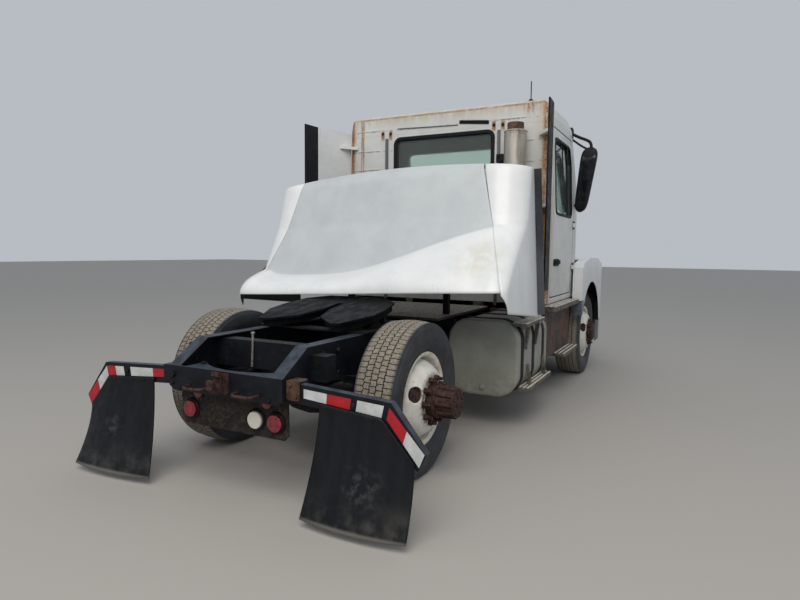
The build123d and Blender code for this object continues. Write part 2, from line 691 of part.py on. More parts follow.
# Coupling plate: horseshoe with ramps, a kingpin throat and ears on the rocking pins
REST = radians(COUPLING_REST_DEG)
coupling_plane = Plane(
    origin=(0, PIVOT_Y, PIVOT_Z), x_dir=(1, 0, 0), z_dir=(0, -sin(REST), cos(REST)),
)
PLATE_T = 16
PLATE_HALF_W = 450
THROAT_Y = 40
with BuildPart() as fifth_wheel_plate:
    with BuildSketch(coupling_plane.offset(COUPLING_TOP - PLATE_T)):
        with BuildLine():
            Polyline(
                (-PLATE_HALF_W, -60), (-PLATE_HALF_W, -230), (-335, -490), (-270, -500), (-90, -350),
                (-KINGPIN_R - 4, -140), (-KINGPIN_R, -100), (-KINGPIN_R, THROAT_Y),
            )
            ThreePointArc(
                (-KINGPIN_R, THROAT_Y), (0, THROAT_Y + KINGPIN_R), (KINGPIN_R, THROAT_Y),
            )
            Polyline(
                (KINGPIN_R, THROAT_Y), (KINGPIN_R, -100), (KINGPIN_R + 4, -140), (90, -350),
                (270, -500), (335, -490), (PLATE_HALF_W, -230), (PLATE_HALF_W, -60), (400, 170), (250, 300),
                (-250, 300), (-400, 170), (-PLATE_HALF_W, -60),
            )
        make_face()
    extrude(amount=PLATE_T)
    with BuildSketch(coupling_plane.offset(COUPLING_TOP - PLATE_T - 46)):
        with BuildLine():
            Polyline(
                (-PLATE_HALF_W + 20, -80), (-PLATE_HALF_W + 20, -222), (-322, -466), (-276, -474),
                (-110, -335), (-60, -150), (-60, 110), (60, 110), (60, -150), (110, -335), (276, -474),
                (322, -466), (PLATE_HALF_W - 20, -222), (PLATE_HALF_W - 20, -80), (385, 155), (240, 280),
                (-240, 280), (-385, 155), close=True,
            )
        make_face()
        with BuildLine():
            Polyline(
                (-PLATE_HALF_W + 44, -90), (-PLATE_HALF_W + 44, -216), (-306, -440), (-284, -444),
                (-140, -324), (-100, -150), (-100, 140), (100, 140), (100, -150), (140, -324), (284, -444),
                (306, -440), (PLATE_HALF_W - 44, -216), (PLATE_HALF_W - 44, -90), (365, 140), (230, 256),
                (-230, 256), (-365, 140), close=True,
            )
        make_face(mode=Mode.SUBTRACT)
    extrude(amount=50)
    with BuildSketch(Plane.YZ.offset(PEDESTAL_X - PEDESTAL_HALF - MOVE_GAP - 18)):
        with BuildLine():
            Polyline(
                (PIVOT_Y - 70, PIVOT_Z + 80), (PIVOT_Y - 40, PIVOT_Z - 14), (PIVOT_Y, PIVOT_Z - 37),
                (PIVOT_Y + 40, PIVOT_Z - 14), (PIVOT_Y + 84, PIVOT_Z + 84), close=True,
            )
        make_face()
        with Locations((PIVOT_Y, PIVOT_Z)):
            Circle(ROCK_PIN_R + RUN_FIT, mode=Mode.SUBTRACT)
    extrude(amount=18)
    mirror(about=Plane.YZ)
save(fifth_wheel_plate, "fifth_wheel_plate")

# Fuel tanks on both sides, with rolled ends, and the straps that hold them to the rails
TANK_Y = (-900, 50)
TANK_X = (580, 1160)
TANK_Z = (300, 910)
TANK_R = 170
with BuildPart() as fuel_tanks:
    with BuildSketch(Plane.XZ.offset(-TANK_Y[1])):
        with Locations((sum(TANK_X) / 2, sum(TANK_Z) / 2)):
            RectangleRounded(TANK_X[1] - TANK_X[0], TANK_Z[1] - TANK_Z[0], TANK_R)
    extrude(amount=TANK_Y[1] - TANK_Y[0])
    chamfer(fuel_tanks.faces().sort_by(Axis.Y)[0].edges(), length=9)
    chamfer(fuel_tanks.faces().sort_by(Axis.Y)[-1].edges(), length=9)
    mirror(about=Plane.YZ)
save(fuel_tanks, "fuel_tanks")

STRAP_T = 6
STRAP_YS = (-760, -420, -80)
with BuildPart() as tank_straps:
    for strap_y in STRAP_YS:
        with BuildSketch(Plane.XZ.offset(-strap_y - 35)):
            with Locations((sum(TANK_X) / 2, sum(TANK_Z) / 2)):
                wide = TANK_X[1] - TANK_X[0] + 2 * SEAT_GAP
                high = TANK_Z[1] - TANK_Z[0] + 2 * SEAT_GAP
                RectangleRounded(wide + 2 * STRAP_T, high + 2 * STRAP_T, TANK_R + STRAP_T)
                RectangleRounded(wide, high, TANK_R, mode=Mode.SUBTRACT)
            with BuildLine():
                Polyline(
                    (RAIL_OUT_X + SEAT_GAP, RAIL_TOP - 20), (TANK_X[0] - 3, RAIL_TOP - 20),
                    (TANK_X[0] - 3, 420), (TANK_X[0] - 40, 420),
                    (RAIL_OUT_X + SEAT_GAP, RAIL_TOP - RAIL_H), close=True,
                )
            make_face()
        extrude(amount=70)
    mirror(about=Plane.YZ)
save(tank_straps, "tank_straps")


def cab_form(inset):
    """Cab's outer form, or the same form drawn in by a wall thickness."""
    with BuildPart() as form:
        with BuildSketch(Plane.YZ.offset(-CAB_HALF_W - 40)):
            with BuildLine():
                Polyline(
                    (CAB_BACK_Y, CAB_BOTTOM), (FIREWALL_Y, CAB_BOTTOM), (FIREWALL_Y, 1640),
                    (SHIELD_FOOT[0], 1700), SHIELD_FOOT, SHIELD_HEAD, (1150, 2862),
                    (700, CAB_ROOF_Z), (284, 2906), (CAB_BACK_Y, 2866), close=True,
                )
            make_face()
            if inset:
                offset(amount=-inset, kind=Kind.INTERSECTION)
        extrude(amount=2 * CAB_HALF_W + 80)
        with BuildSketch(Plane.XZ.offset(-2000)):
            with BuildLine():
                Polyline(
                    (-1112, CAB_BOTTOM), (1112, CAB_BOTTOM), (CAB_HALF_W, 1400), (CAB_HALF_W, 1850),
                    (CAB_EAVE_HALF_W, 2760), (1064, 2862), (1016, 2902), (500, CAB_ROOF_Z),
                    (-500, CAB_ROOF_Z), (-1016, 2902), (-1064, 2862), (-CAB_EAVE_HALF_W, 2760),
                    (-CAB_HALF_W, 1850), (-CAB_HALF_W, 1400),
                    close=True,
                )
            make_face()
            if inset:
                offset(amount=-inset, kind=Kind.INTERSECTION)
        extrude(amount=2000, mode=Mode.INTERSECT)
        with BuildSketch(Plane.XY.offset(800)) as plan:
            with BuildLine():
                Polyline(
                    (-CAB_HALF_W, CAB_BACK_Y), (CAB_HALF_W, CAB_BACK_Y), (CAB_HALF_W, 1480),
                    (960, 1680), (-960, 1680), (-CAB_HALF_W, 1480), close=True,
                )
            make_face()
            fillet(plan.vertices().group_by(Axis.Y)[0], radius=80)
            if inset:
                offset(amount=-inset, kind=Kind.INTERSECTION)
        extrude(amount=2300, mode=Mode.INTERSECT)
    return form.part


CAB_OUTSIDE = cab_form(0)
CAB_INSIDE = cab_form(CAB_WALL)

# Door outline seen from the side, with the upper front corner cut along the screen pillar
DOOR_OUTLINE = (
    (DOOR_REAR_Y, DOOR_BOTTOM + 22), (DOOR_FRONT_Y, DOOR_BOTTOM + 22), (DOOR_FRONT_Y, 2430),
    (DOOR_FRONT_Y - 92, DOOR_TOP), (DOOR_REAR_Y, DOOR_TOP),
)
DOOR_WINDOW = (
    (DOOR_REAR_Y + 90, 1840), (DOOR_FRONT_Y - 90, 1840), (DOOR_FRONT_Y - 90, 2400),
    (DOOR_FRONT_Y - 158, 2570), (DOOR_REAR_Y + 90, 2570),
)
DOOR_HOLE = (
    (DOOR_REAR_Y - DOOR_REAR_GAP, DOOR_BOTTOM + 12), (DOOR_FRONT_Y + DOOR_GAP, DOOR_BOTTOM + 12),
    (DOOR_FRONT_Y + DOOR_GAP, 2433), (DOOR_FRONT_Y - 86, DOOR_TOP + DOOR_GAP),
    (DOOR_REAR_Y - DOOR_REAR_GAP, DOOR_TOP + DOOR_GAP),
)
DOOR_INNER_X = 1000
SHIELD_HALF_W = ((960, 1860), (900, 2650))
BACK_WINDOW = (1080, 640)
BACK_WINDOW_Z = 2320


# Door hinges: a barrel on the door turns on a pin between two lugs on the pillar
DOOR_AXIS = (CAB_HALF_W + 18, DOOR_FRONT_Y + DOOR_GAP / 2)
DOOR_HINGE_ZS = (1300, 1760)
BARREL_R = 12
BARREL_HALF = 22
DOOR_PIN_R = 7


def hinge_leaf(side, hinge_z, low, high, along):
    """One leaf from the skin to the hinge axis; along is -1 towards the door, +1 towards the pillar."""
    axis_x, axis_y = DOOR_AXIS
    with BuildPart() as leaf:
        with BuildSketch(Plane.XY.offset(hinge_z + low)):
            with Locations((side * axis_x, axis_y)):
                Circle(BARREL_R)
            with BuildLine():
                Polyline(
                    (side * (axis_x - 30), axis_y + along * 45),
                    (side * (axis_x - 30), axis_y + along * 10),
                    (side * (axis_x - 7), axis_y + along * 5), (side * (axis_x + 3), axis_y + along * 11),
                    (side * (axis_x - 13), axis_y + along * 45), close=True,
                )
            make_face()
        extrude(amount=high - low)
    return leaf.part


with BuildPart() as cab_body:
    add(CAB_OUTSIDE)
    add(CAB_INSIDE, mode=Mode.SUBTRACT)
    with BuildSketch(Plane.YZ.offset(-CAB_HALF_W - 50)) as side_holes:
        with BuildLine():
            Polyline(DOOR_HOLE, close=True)
        make_face()
        fillet(side_holes.vertices(), radius=DOOR_R)
    extrude(amount=CAB_HALF_W + 50 - DOOR_INNER_X, mode=Mode.SUBTRACT)
    with BuildSketch(Plane.YZ.offset(DOOR_INNER_X)) as side_holes:
        with BuildLine():
            Polyline(DOOR_HOLE, close=True)
        make_face()
        fillet(side_holes.vertices(), radius=DOOR_R)
    extrude(amount=CAB_HALF_W + 50 - DOOR_INNER_X, mode=Mode.SUBTRACT)
    with BuildSketch(Plane.XZ.offset(-1160)) as screen_hole:
        with BuildLine():
            Polyline(
                (-SHIELD_HALF_W[0][0], SHIELD_HALF_W[0][1]), (SHIELD_HALF_W[0][0], SHIELD_HALF_W[0][1]),
                (SHIELD_HALF_W[1][0], SHIELD_HALF_W[1][1]), (-SHIELD_HALF_W[1][0], SHIELD_HALF_W[1][1]),
                close=True,
            )
        make_face()
        fillet(screen_hole.vertices(), radius=60)
    extrude(amount=-700, mode=Mode.SUBTRACT)
    with BuildSketch(Plane.XZ.offset(-CAB_BACK_Y - 120)):
        with Locations((0, BACK_WINDOW_Z)):
            RectangleRounded(BACK_WINDOW[0], BACK_WINDOW[1], 70)
    extrude(amount=200, mode=Mode.SUBTRACT)
    split(bisect_by=Plane.XY.offset(ROOF_SPLIT_Z), keep=Keep.BOTTOM)
    with BuildSketch(Plane.XY.offset(RAIL_TOP)):
        with GridLocations(2 * (RAIL_OUT_X - 45), 900, 2, 2):
            with Locations((0, 800)):
                Rectangle(80, 120)
    extrude(amount=CAB_BOTTOM - RAIL_TOP)
    for side_name, side in SIDES:
        for hinge_z in DOOR_HINGE_ZS:
            lug_z = BARREL_HALF + MOVE_GAP
            add(hinge_leaf(side, hinge_z, -lug_z - 16, -lug_z, 1))
            add(hinge_leaf(side, hinge_z, lug_z, lug_z + 16, 1))
            with BuildSketch(Plane.XY.offset(hinge_z - lug_z)):
                with Locations((side * DOOR_AXIS[0], DOOR_AXIS[1])):
                    Circle(DOOR_PIN_R)
            extrude(amount=2 * lug_z)
save(cab_body, "cab_body")

with BuildPart() as cab_roof:
    add(CAB_OUTSIDE)
    add(CAB_INSIDE, mode=Mode.SUBTRACT)
    split(bisect_by=Plane.XY.offset(ROOF_SPLIT_Z + SEAT_GAP), keep=Keep.TOP)
save(cab_roof, "cab_roof")

# Bonded panes, each set a little inside the skin and 0.3 mm from its opening
with BuildPart() as windshield:
    with BuildSketch(Plane.YZ.offset(-1000)):
        with BuildLine():
            Polyline(
                (SHIELD_FOOT[0] - 22, SHIELD_FOOT[1]), (SHIELD_HEAD[0] - 22, SHIELD_HEAD[1]),
                (SHIELD_HEAD[0] - 22 - GLASS_T, SHIELD_HEAD[1]),
                (SHIELD_FOOT[0] - 22 - GLASS_T, SHIELD_FOOT[1]), close=True,
            )
        make_face()
    extrude(amount=2000)
    with BuildSketch(Plane.XZ.offset(-1160)) as screen_pane:
        with BuildLine():
            Polyline(
                (-SHIELD_HALF_W[0][0], SHIELD_HALF_W[0][1]), (SHIELD_HALF_W[0][0], SHIELD_HALF_W[0][1]),
                (SHIELD_HALF_W[1][0], SHIELD_HALF_W[1][1]), (-SHIELD_HALF_W[1][0], SHIELD_HALF_W[1][1]),
                close=True,
            )
        make_face()
        fillet(screen_pane.vertices(), radius=60)
        offset(amount=-SEAT_GAP)
    extrude(amount=-700, mode=Mode.INTERSECT)
save(windshield, "windshield")

with BuildPart() as rear_window:
    with BuildSketch(Plane.XZ.offset(-CAB_BACK_Y - 18 - GLASS_T)):
        with Locations((0, BACK_WINDOW_Z)):
            RectangleRounded(BACK_WINDOW[0] - 2 * SEAT_GAP, BACK_WINDOW[1] - 2 * SEAT_GAP, 70 - SEAT_GAP)
    extrude(amount=GLASS_T)
save(rear_window, "rear_window")

for side_name, side in SIDES:
    with BuildPart() as door:
        add(CAB_OUTSIDE)
        add(CAB_INSIDE, mode=Mode.SUBTRACT)
        with BuildSketch(Plane.YZ.offset(side * DOOR_INNER_X)) as door_face:
            with BuildLine():
                Polyline(DOOR_OUTLINE, close=True)
            make_face()
            fillet(door_face.vertices(), radius=DOOR_R)
            with BuildLine():
                Polyline(DOOR_WINDOW, close=True)
            make_face(mode=Mode.SUBTRACT)
        extrude(amount=side * (CAB_HALF_W + 50 - DOOR_INNER_X), mode=Mode.INTERSECT)
        for hinge_z in DOOR_HINGE_ZS:
            add(hinge_leaf(side, hinge_z, -BARREL_HALF, BARREL_HALF, -1))
            with BuildSketch(Plane.XY.offset(hinge_z - BARREL_HALF)):
                with Locations((side * DOOR_AXIS[0], DOOR_AXIS[1])):
                    Circle(DOOR_PIN_R + RUN_FIT)
            extrude(amount=2 * BARREL_HALF, mode=Mode.SUBTRACT)
    save(door, "door_" + side_name)

    with BuildPart() as door_glass:
        pane_x = CAB_HALF_W - 26
        lean = CAB_HALF_W - CAB_EAVE_HALF_W
        with BuildSketch(Plane.XZ.offset(-DOOR_FRONT_Y)):
            with BuildLine():
                Polyline(
                    (side * pane_x, 1850), (side * (pane_x - GLASS_T), 1850),
                    (side * (pane_x - GLASS_T), 1800), (side * pane_x, 1800), close=True,
                )
            make_face()
            with BuildLine():
                Polyline(
                    (side * pane_x, 1850), (side * (pane_x - lean), 2740),
                    (side * (pane_x - lean - GLASS_T), 2740), (side * (pane_x - GLASS_T), 1850),
                    close=True,
                )
            make_face()
        extrude(amount=DOOR_FRONT_Y - DOOR_REAR_Y)
        with BuildSketch(Plane.YZ.offset(side * DOOR_INNER_X)) as pane_face:
            with BuildLine():
                Polyline(DOOR_WINDOW, close=True)
            make_face()
            offset(amount=-SEAT_GAP, kind=Kind.INTERSECTION)
        extrude(amount=side * 200, mode=Mode.INTERSECT)
    save(door_glass, "door_glass_" + side_name)

# Dashboard with the steering column, whose end carries the steering wheel
WHEEL_X = -480
WHEEL_C = Vector(WHEEL_X, 1020, 1720)
COLUMN_RISE = radians(35)
COLUMN_DIR = Vector(0, -cos(COLUMN_RISE), sin(COLUMN_RISE))
with BuildPart() as dashboard:
    with BuildSketch(Plane.YZ.offset(-CAB_HALF_W + CAB_WALL + 10)):
        with BuildLine():
            Polyline(
                (FIREWALL_Y - CAB_WALL - SEAT_GAP, 1300), (FIREWALL_Y - CAB_WALL - SEAT_GAP, 1780),
                (1400, 1785), (1270, 1700), (1245, 1480), (1330, 1300), close=True,
            )
        make_face()
    extrude(amount=2 * (CAB_HALF_W - CAB_WALL - 10))
    with BuildSketch(Plane(origin=WHEEL_C - COLUMN_DIR * 30, x_dir=(1, 0, 0), z_dir=-COLUMN_DIR)):
        Circle(34)
    extrude(amount=300)
    with BuildSketch(Plane(origin=WHEEL_C + COLUMN_DIR * 18, x_dir=(1, 0, 0), z_dir=-COLUMN_DIR)):
        Circle(10)
    extrude(amount=60)
save(dashboard, "dashboard")

RIM_R = 215
with BuildPart() as steering_wheel:
    rim_plane = Plane(origin=WHEEL_C, x_dir=(1, 0, 0), z_dir=COLUMN_DIR)
    column_down = (0, -sin(COLUMN_RISE), -cos(COLUMN_RISE))
    with BuildSketch(Plane(origin=WHEEL_C, x_dir=(1, 0, 0), z_dir=column_down)):
        with Locations((RIM_R, 0)):
            Circle(14)
    revolve(axis=Axis(WHEEL_C, COLUMN_DIR))
    with BuildSketch(rim_plane.offset(-12)):
        Circle(46)
        Circle(10 + RUN_FIT, mode=Mode.SUBTRACT)
    extrude(amount=34)
    for spoke_deg in (90, 210, 330):
        with BuildSketch(rim_plane.offset(-6)):
            with PolarLocations(0, 1, start_angle=spoke_deg):
                with Locations((RIM_R / 2 + 18, 0)):
                    Rectangle(RIM_R - 48, 30)
        extrude(amount=12)
save(steering_wheel, "steering_wheel")

# Seats on pedestals
SEAT_X = 480
FLOOR_Z = CAB_BOTTOM + CAB_WALL
with BuildPart() as seats:
    with BuildSketch(Plane.YZ.offset(SEAT_X - 250)) as seat_side:
        with BuildLine():
            Polyline(
                (440, 1330), (940, 1320), (960, 1430), (620, 1460), (520, 2200), (390, 2200), close=True,
            )
        make_face()
        fillet(seat_side.vertices(), radius=30)
    extrude(amount=500)
    with BuildSketch(Plane.XY.offset(FLOOR_Z + SEAT_GAP)):
        with Locations((SEAT_X, 660)):
            RectangleRounded(360, 400, 30)
    extrude(amount=1340 - FLOOR_Z)
    mirror(about=Plane.YZ)
save(seats, "seats")

# Exhaust stack: muffler on brackets from the cab's back wall, outlet pipe and inlet pipe
STACK_X = 805
STACK_Y = 98
MUFFLER_R = 105
MUFFLER_Z = (1120, 2600)
PIPE_R = 50
with BuildPart() as exhaust_stack:
    with BuildSketch(Plane.XY.offset(MUFFLER_Z[0])):
        with Locations((STACK_X, STACK_Y)):
            Circle(MUFFLER_R)
    extrude(amount=MUFFLER_Z[1] - MUFFLER_Z[0])
    fillet(exhaust_stack.edges().filter_by(GeomType.CIRCLE), radius=16)
    with BuildSketch(Plane.XY.offset(MUFFLER_Z[1] - 10)):
        with Locations((STACK_X, STACK_Y)):
            Circle(73)
            Circle(68, mode=Mode.SUBTRACT)
    extrude(amount=74)
    with BuildLine() as inlet:
        FilletPolyline(
            (STACK_X, STACK_Y + 25, MUFFLER_Z[0] + 20), (STACK_X, STACK_Y + 25, 700),
            (RAIL_OUT_X + SEAT_GAP, STACK_Y + 25, 700), radius=120,
        )
    with BuildSketch(Plane(origin=inlet.line @ 0, z_dir=inlet.line % 0)):
        Circle(PIPE_R)
    sweep(path=inlet.line)
    for bracket_z in (1330, 2380):
        with BuildSketch(Plane.XY.offset(bracket_z)):
            with Locations((STACK_X, (STACK_Y + CAB_BACK_Y - SEAT_GAP) / 2)):
                Rectangle(120, CAB_BACK_Y - SEAT_GAP - STACK_Y)
        extrude(amount=50)
save(exhaust_stack, "exhaust_stack")

# Side extenders hung on the cab's back wall, with rubber trailing edges
EXTENDER_Z = (1130, 2740)
EXTENDER_FOOT = (1090, CAB_BACK_Y - MOVE_GAP)
EXTENDER_TIP = (1214, -225)
EXTENDER_T = 22
EXTENDER_BRACKETS = (1320, 1880, 2560)
with BuildPart() as side_extenders:
    with BuildSketch(Plane.XY.offset(EXTENDER_Z[0])):
        with BuildLine():
            Polyline(
                EXTENDER_FOOT, (EXTENDER_FOOT[0] + EXTENDER_T, EXTENDER_FOOT[1]),
                (EXTENDER_TIP[0] + EXTENDER_T, EXTENDER_TIP[1]), EXTENDER_TIP, close=True,
            )
        make_face()
    extrude(amount=EXTENDER_Z[1] - EXTENDER_Z[0])
    for bracket_z in EXTENDER_BRACKETS:
        with BuildSketch(Plane.XY.offset(bracket_z)):
            with BuildLine():
                Polyline(
                    (1000, CAB_BACK_Y - SEAT_GAP), (1000, CAB_BACK_Y - 20), (1110, 60),
                    (1130, 60), (EXTENDER_FOOT[0] + 6, CAB_BACK_Y - SEAT_GAP - MOVE_GAP),
                    (1040, CAB_BACK_Y - SEAT_GAP), close=True,
                )
            make_face()
        extrude(amount=30)
    mirror(about=Plane.YZ)
save(side_extenders, "side_extenders")

EDGE_REACH = 200
with BuildPart() as extender_edges:
    with BuildSketch(Plane.XY.offset(EXTENDER_Z[0])):
        with BuildLine():
            tip_y = EXTENDER_TIP[1] - SEAT_GAP
            Polyline(
                (EXTENDER_TIP[0] + 3, tip_y), (EXTENDER_TIP[0] + EXTENDER_T - 3, tip_y),
                (EXTENDER_TIP[0] + EXTENDER_T + 10, tip_y - EDGE_REACH),
                (EXTENDER_TIP[0] + EXTENDER_T - 4, tip_y - EDGE_REACH), close=True,
            )
        make_face()
    extrude(amount=EXTENDER_Z[1] - EXTENDER_Z[0])
    mirror(about=Plane.YZ)
save(extender_edges, "extender_edges")

# Fairing form, level outlines from the lip's flare up to the crown.
# Columns: height, back edge y, corner radius
FAIR_SLICES = (
    (760, FAIR_LIP_Y, 120),
    (1130, FAIR_LIP_Y, 120),
    (1205, -1450, 150),
    (1280, -1385, 175),
    (1350, -1280, 215),
    (1420, -1180, 255),
    (1530, -1090, 295),
    (1700, -1010, 330),
    (2070, -888, 380),
    (2200, -800, 420),
)
FAIR_FRONT = ((-829, 2300), (-352, 800))
FAIR_BOW = 30
FAIR_OPEN_Y = -300
# The moulding leans to the left on its posts, turned at the height of its lip
FAIR_LEAN = Pos(0, 0, FAIR_LIP_Z) * Rotation(0, -2.6, 0) * Pos(0, 0, -FAIR_LIP_Z)


def fairing_form(inset):
    """Fairing's outside, or the same form drawn in by the moulding's thickness."""
    with BuildPart() as form:
        half_w = FAIR_HALF_W - inset
        for height, back_y, corner in FAIR_SLICES:
            wall_y = back_y + inset
            radius = corner - inset
            turn_x = half_w - radius
            turn_y = wall_y + radius
            slant = radius * sqrt(0.5)
            with BuildSketch(Plane.XY.offset(height)):
                with BuildLine():
                    Line((-half_w, FAIR_OPEN_Y), (-half_w, turn_y))
                    ThreePointArc(
                        (-half_w, turn_y), (-turn_x - slant, turn_y - slant), (-turn_x, wall_y),
                    )
                    ThreePointArc((-turn_x, wall_y), (0, wall_y - FAIR_BOW), (turn_x, wall_y))
                    ThreePointArc(
                        (turn_x, wall_y), (turn_x + slant, turn_y - slant), (half_w, turn_y),
                    )
                    Line((half_w, turn_y), (half_w, FAIR_OPEN_Y))
                    Line((half_w, FAIR_OPEN_Y), (-half_w, FAIR_OPEN_Y))
                make_face()
        loft(ruled=True)
        with BuildSketch(Plane.XZ.offset(300)):
            with BuildLine():
                ThreePointArc(
                    (-1260, FAIR_EAVE_Z - inset), (0, FAIR_CROWN_Z - inset), (1260, FAIR_EAVE_Z - inset),
                )
                Polyline(
                    (1260, FAIR_EAVE_Z - inset), (1260, 700), (-1260, 700), (-1260, FAIR_EAVE_Z - inset),
                )
            make_face()
        extrude(amount=1500, mode=Mode.INTERSECT)
    return form.part


FAIR_OUTSIDE = fairing_form(0)
FAIR_INSIDE = fairing_form(FAIR_T)
with BuildPart() as fairing_shell:
    add(FAIR_OUTSIDE)
    add(FAIR_INSIDE, mode=Mode.SUBTRACT)
    with BuildSketch(Plane.YZ.offset(-FAIR_HALF_W - 50)):
        with BuildLine():
            Polyline(FAIR_FRONT + ((0, 800), (0, 2300)), close=True)
        make_face()
        with BuildLine():
            Polyline(
                (-1700, 700), (-1700, FAIR_LIP_Z + 0.1), (-1475, FAIR_LIP_Z + 0.1), (-1400, 1020),
                (-1400, 700), close=True,
            )
        make_face()
    extrude(amount=2 * FAIR_HALF_W + 100, mode=Mode.SUBTRACT)

# The seam between the middle and the side mouldings leans outwards as it comes down
SEAM_TOP = (857, 2300)
SEAM_KNEE = (1190, 1130)
FAIR_SHELL = fairing_shell.part
for node, keep_mode, seam_shift, seam_low in (
    ("fairing_center", Mode.INTERSECT, 0, FAIR_LIP_Z - 15),
    ("fairing_sides", Mode.SUBTRACT, SEAM_GAP, 800),
):
    with BuildPart() as fairing_piece:
        add(FAIR_SHELL)
        with BuildSketch(Plane.XZ.offset(300)):
            with BuildLine():
                seam = [
                    (SEAM_TOP[0] + seam_shift, SEAM_TOP[1]), (SEAM_KNEE[0] + seam_shift, SEAM_KNEE[1]),
                    (SEAM_KNEE[0] + seam_shift, seam_low),
                ]
                Polyline(seam + [(-x, z) for x, z in reversed(seam)], close=True)
            make_face()
        extrude(amount=1500, mode=keep_mode)
    with BuildPart() as leaned_piece:
        add(FAIR_LEAN * fairing_piece.part)
        with BuildSketch(Plane.YZ.offset(-FAIR_HALF_W - 100)):
            with BuildLine():
                Polyline(
                    (-1420, 700), (-1420, 1020), (-1400, 1020), (-300, 894), (-300, 700), close=True,
                )
            make_face()
        extrude(amount=2 * FAIR_HALF_W + 200, mode=Mode.SUBTRACT)
    save(leaned_piece, node)
FAIR_SEAT = FAIR_LEAN * fairing_form(FAIR_T + 2 * SEAT_GAP)
POST_X = 480
POST = 50
with BuildPart() as fairing_frame:
    with BuildSketch(Plane.XY.offset(DECK_Z + DECK_T + SEAT_GAP)):
        with Locations((-POST_X, -735), (POST_X, -735)):
            Rectangle(POST, POST)
    extrude(amount=1060)
    for bar_z in (1480, 1930):
        with BuildSketch(Plane.YZ.offset(-FAIR_HALF_W - 100)):
            with Locations((-735, bar_z)):
                Rectangle(POST, POST)
        extrude(amount=2 * FAIR_HALF_W + 200)
    with BuildSketch(Plane.XZ.offset(735)):
        with Locations((-POST_X, 1900), (POST_X, 1900)):
            Rectangle(POST, POST)
    extrude(amount=400)
    add(FAIR_SEAT, mode=Mode.INTERSECT)
save(fairing_frame, "fairing_frame")

# Bumper moulding, open behind, on drop brackets that also carry the hood's hinge ears
BUMPER_HALF_W = 1200
BUMPER_REAR_Y = NOSE_Y - 500
BUMPER_Z = (300, 600)
BUMPER_T = 8
BUMPER_BOW = 60
HINGE_X = 403
HINGE_EAR_T = 20
HINGE_PIN_R = 12
# Drop brackets reach from under the rails to just inside the moulding
DROP_REAR_Y = NOSE_Y - 420
DROP_FRONT_Y = NOSE_Y - 11


def bumper_form(inset):
    """Bumper's plan outline, or the same outline drawn in by the sheet's thickness."""
    with BuildPart() as form:
        half_w = BUMPER_HALF_W - inset
        with BuildSketch(Plane.XY.offset(BUMPER_Z[0])) as plan:
            with BuildLine():
                Line((-half_w, BUMPER_REAR_Y), (-half_w, NOSE_Y - BUMPER_BOW - inset))
                ThreePointArc(
                    (-half_w, NOSE_Y - BUMPER_BOW - inset), (0, NOSE_Y - inset),
                    (half_w, NOSE_Y - BUMPER_BOW - inset),
                )
                Line((half_w, NOSE_Y - BUMPER_BOW - inset), (half_w, BUMPER_REAR_Y))
                Line((half_w, BUMPER_REAR_Y), (-half_w, BUMPER_REAR_Y))
            make_face()
            fillet(plan.vertices().group_by(Axis.Y)[-1], radius=180 - inset)
        extrude(amount=BUMPER_Z[1] - BUMPER_Z[0])
    return form.part


BUMPER_OUTSIDE = bumper_form(0)
BUMPER_INSIDE = bumper_form(BUMPER_T)
with BuildPart() as bumper:
    add(BUMPER_OUTSIDE)
    add(BUMPER_INSIDE, mode=Mode.SUBTRACT)
    for side_name, side in SIDES:
        with BuildSketch(Plane.YZ.offset(side * HINGE_X - HINGE_EAR_T / 2)):
            with BuildLine():
                Polyline(
                    (DROP_REAR_Y, RAIL_TOP - RAIL_H - SEAT_GAP), (DROP_REAR_Y, 560),
                    (DROP_REAR_Y + 120, 420), (DROP_FRONT_Y - 29, 420),
                    (DROP_FRONT_Y, 450), (DROP_FRONT_Y, 570), (HINGE_Y + 24, 590),
                    (HINGE_Y + 20, HINGE_Z), (HINGE_Y - 20, HINGE_Z), (HINGE_Y - 24, 600),
                    (HINGE_Y - 110, 590), (HINGE_Y - 120, RAIL_TOP - RAIL_H - SEAT_GAP), close=True,
                )
            make_face()
            with Locations((HINGE_Y, HINGE_Z)):
                Circle(21)
                Circle(HINGE_PIN_R + RUN_FIT, mode=Mode.SUBTRACT)
        extrude(amount=HINGE_EAR_T)
save(bumper, "bumper")

# Hood sections. Columns: y, half width, shoulder height, crown height
HOOD_SECTIONS = (
    (HOOD_REAR_Y, 1010, 1560, 1785),
    (2420, 820, 1440, 1660),
    (HOOD_FRONT_Y, 620, 1200, 1400),
)
HOOD_FLOOR = 1130


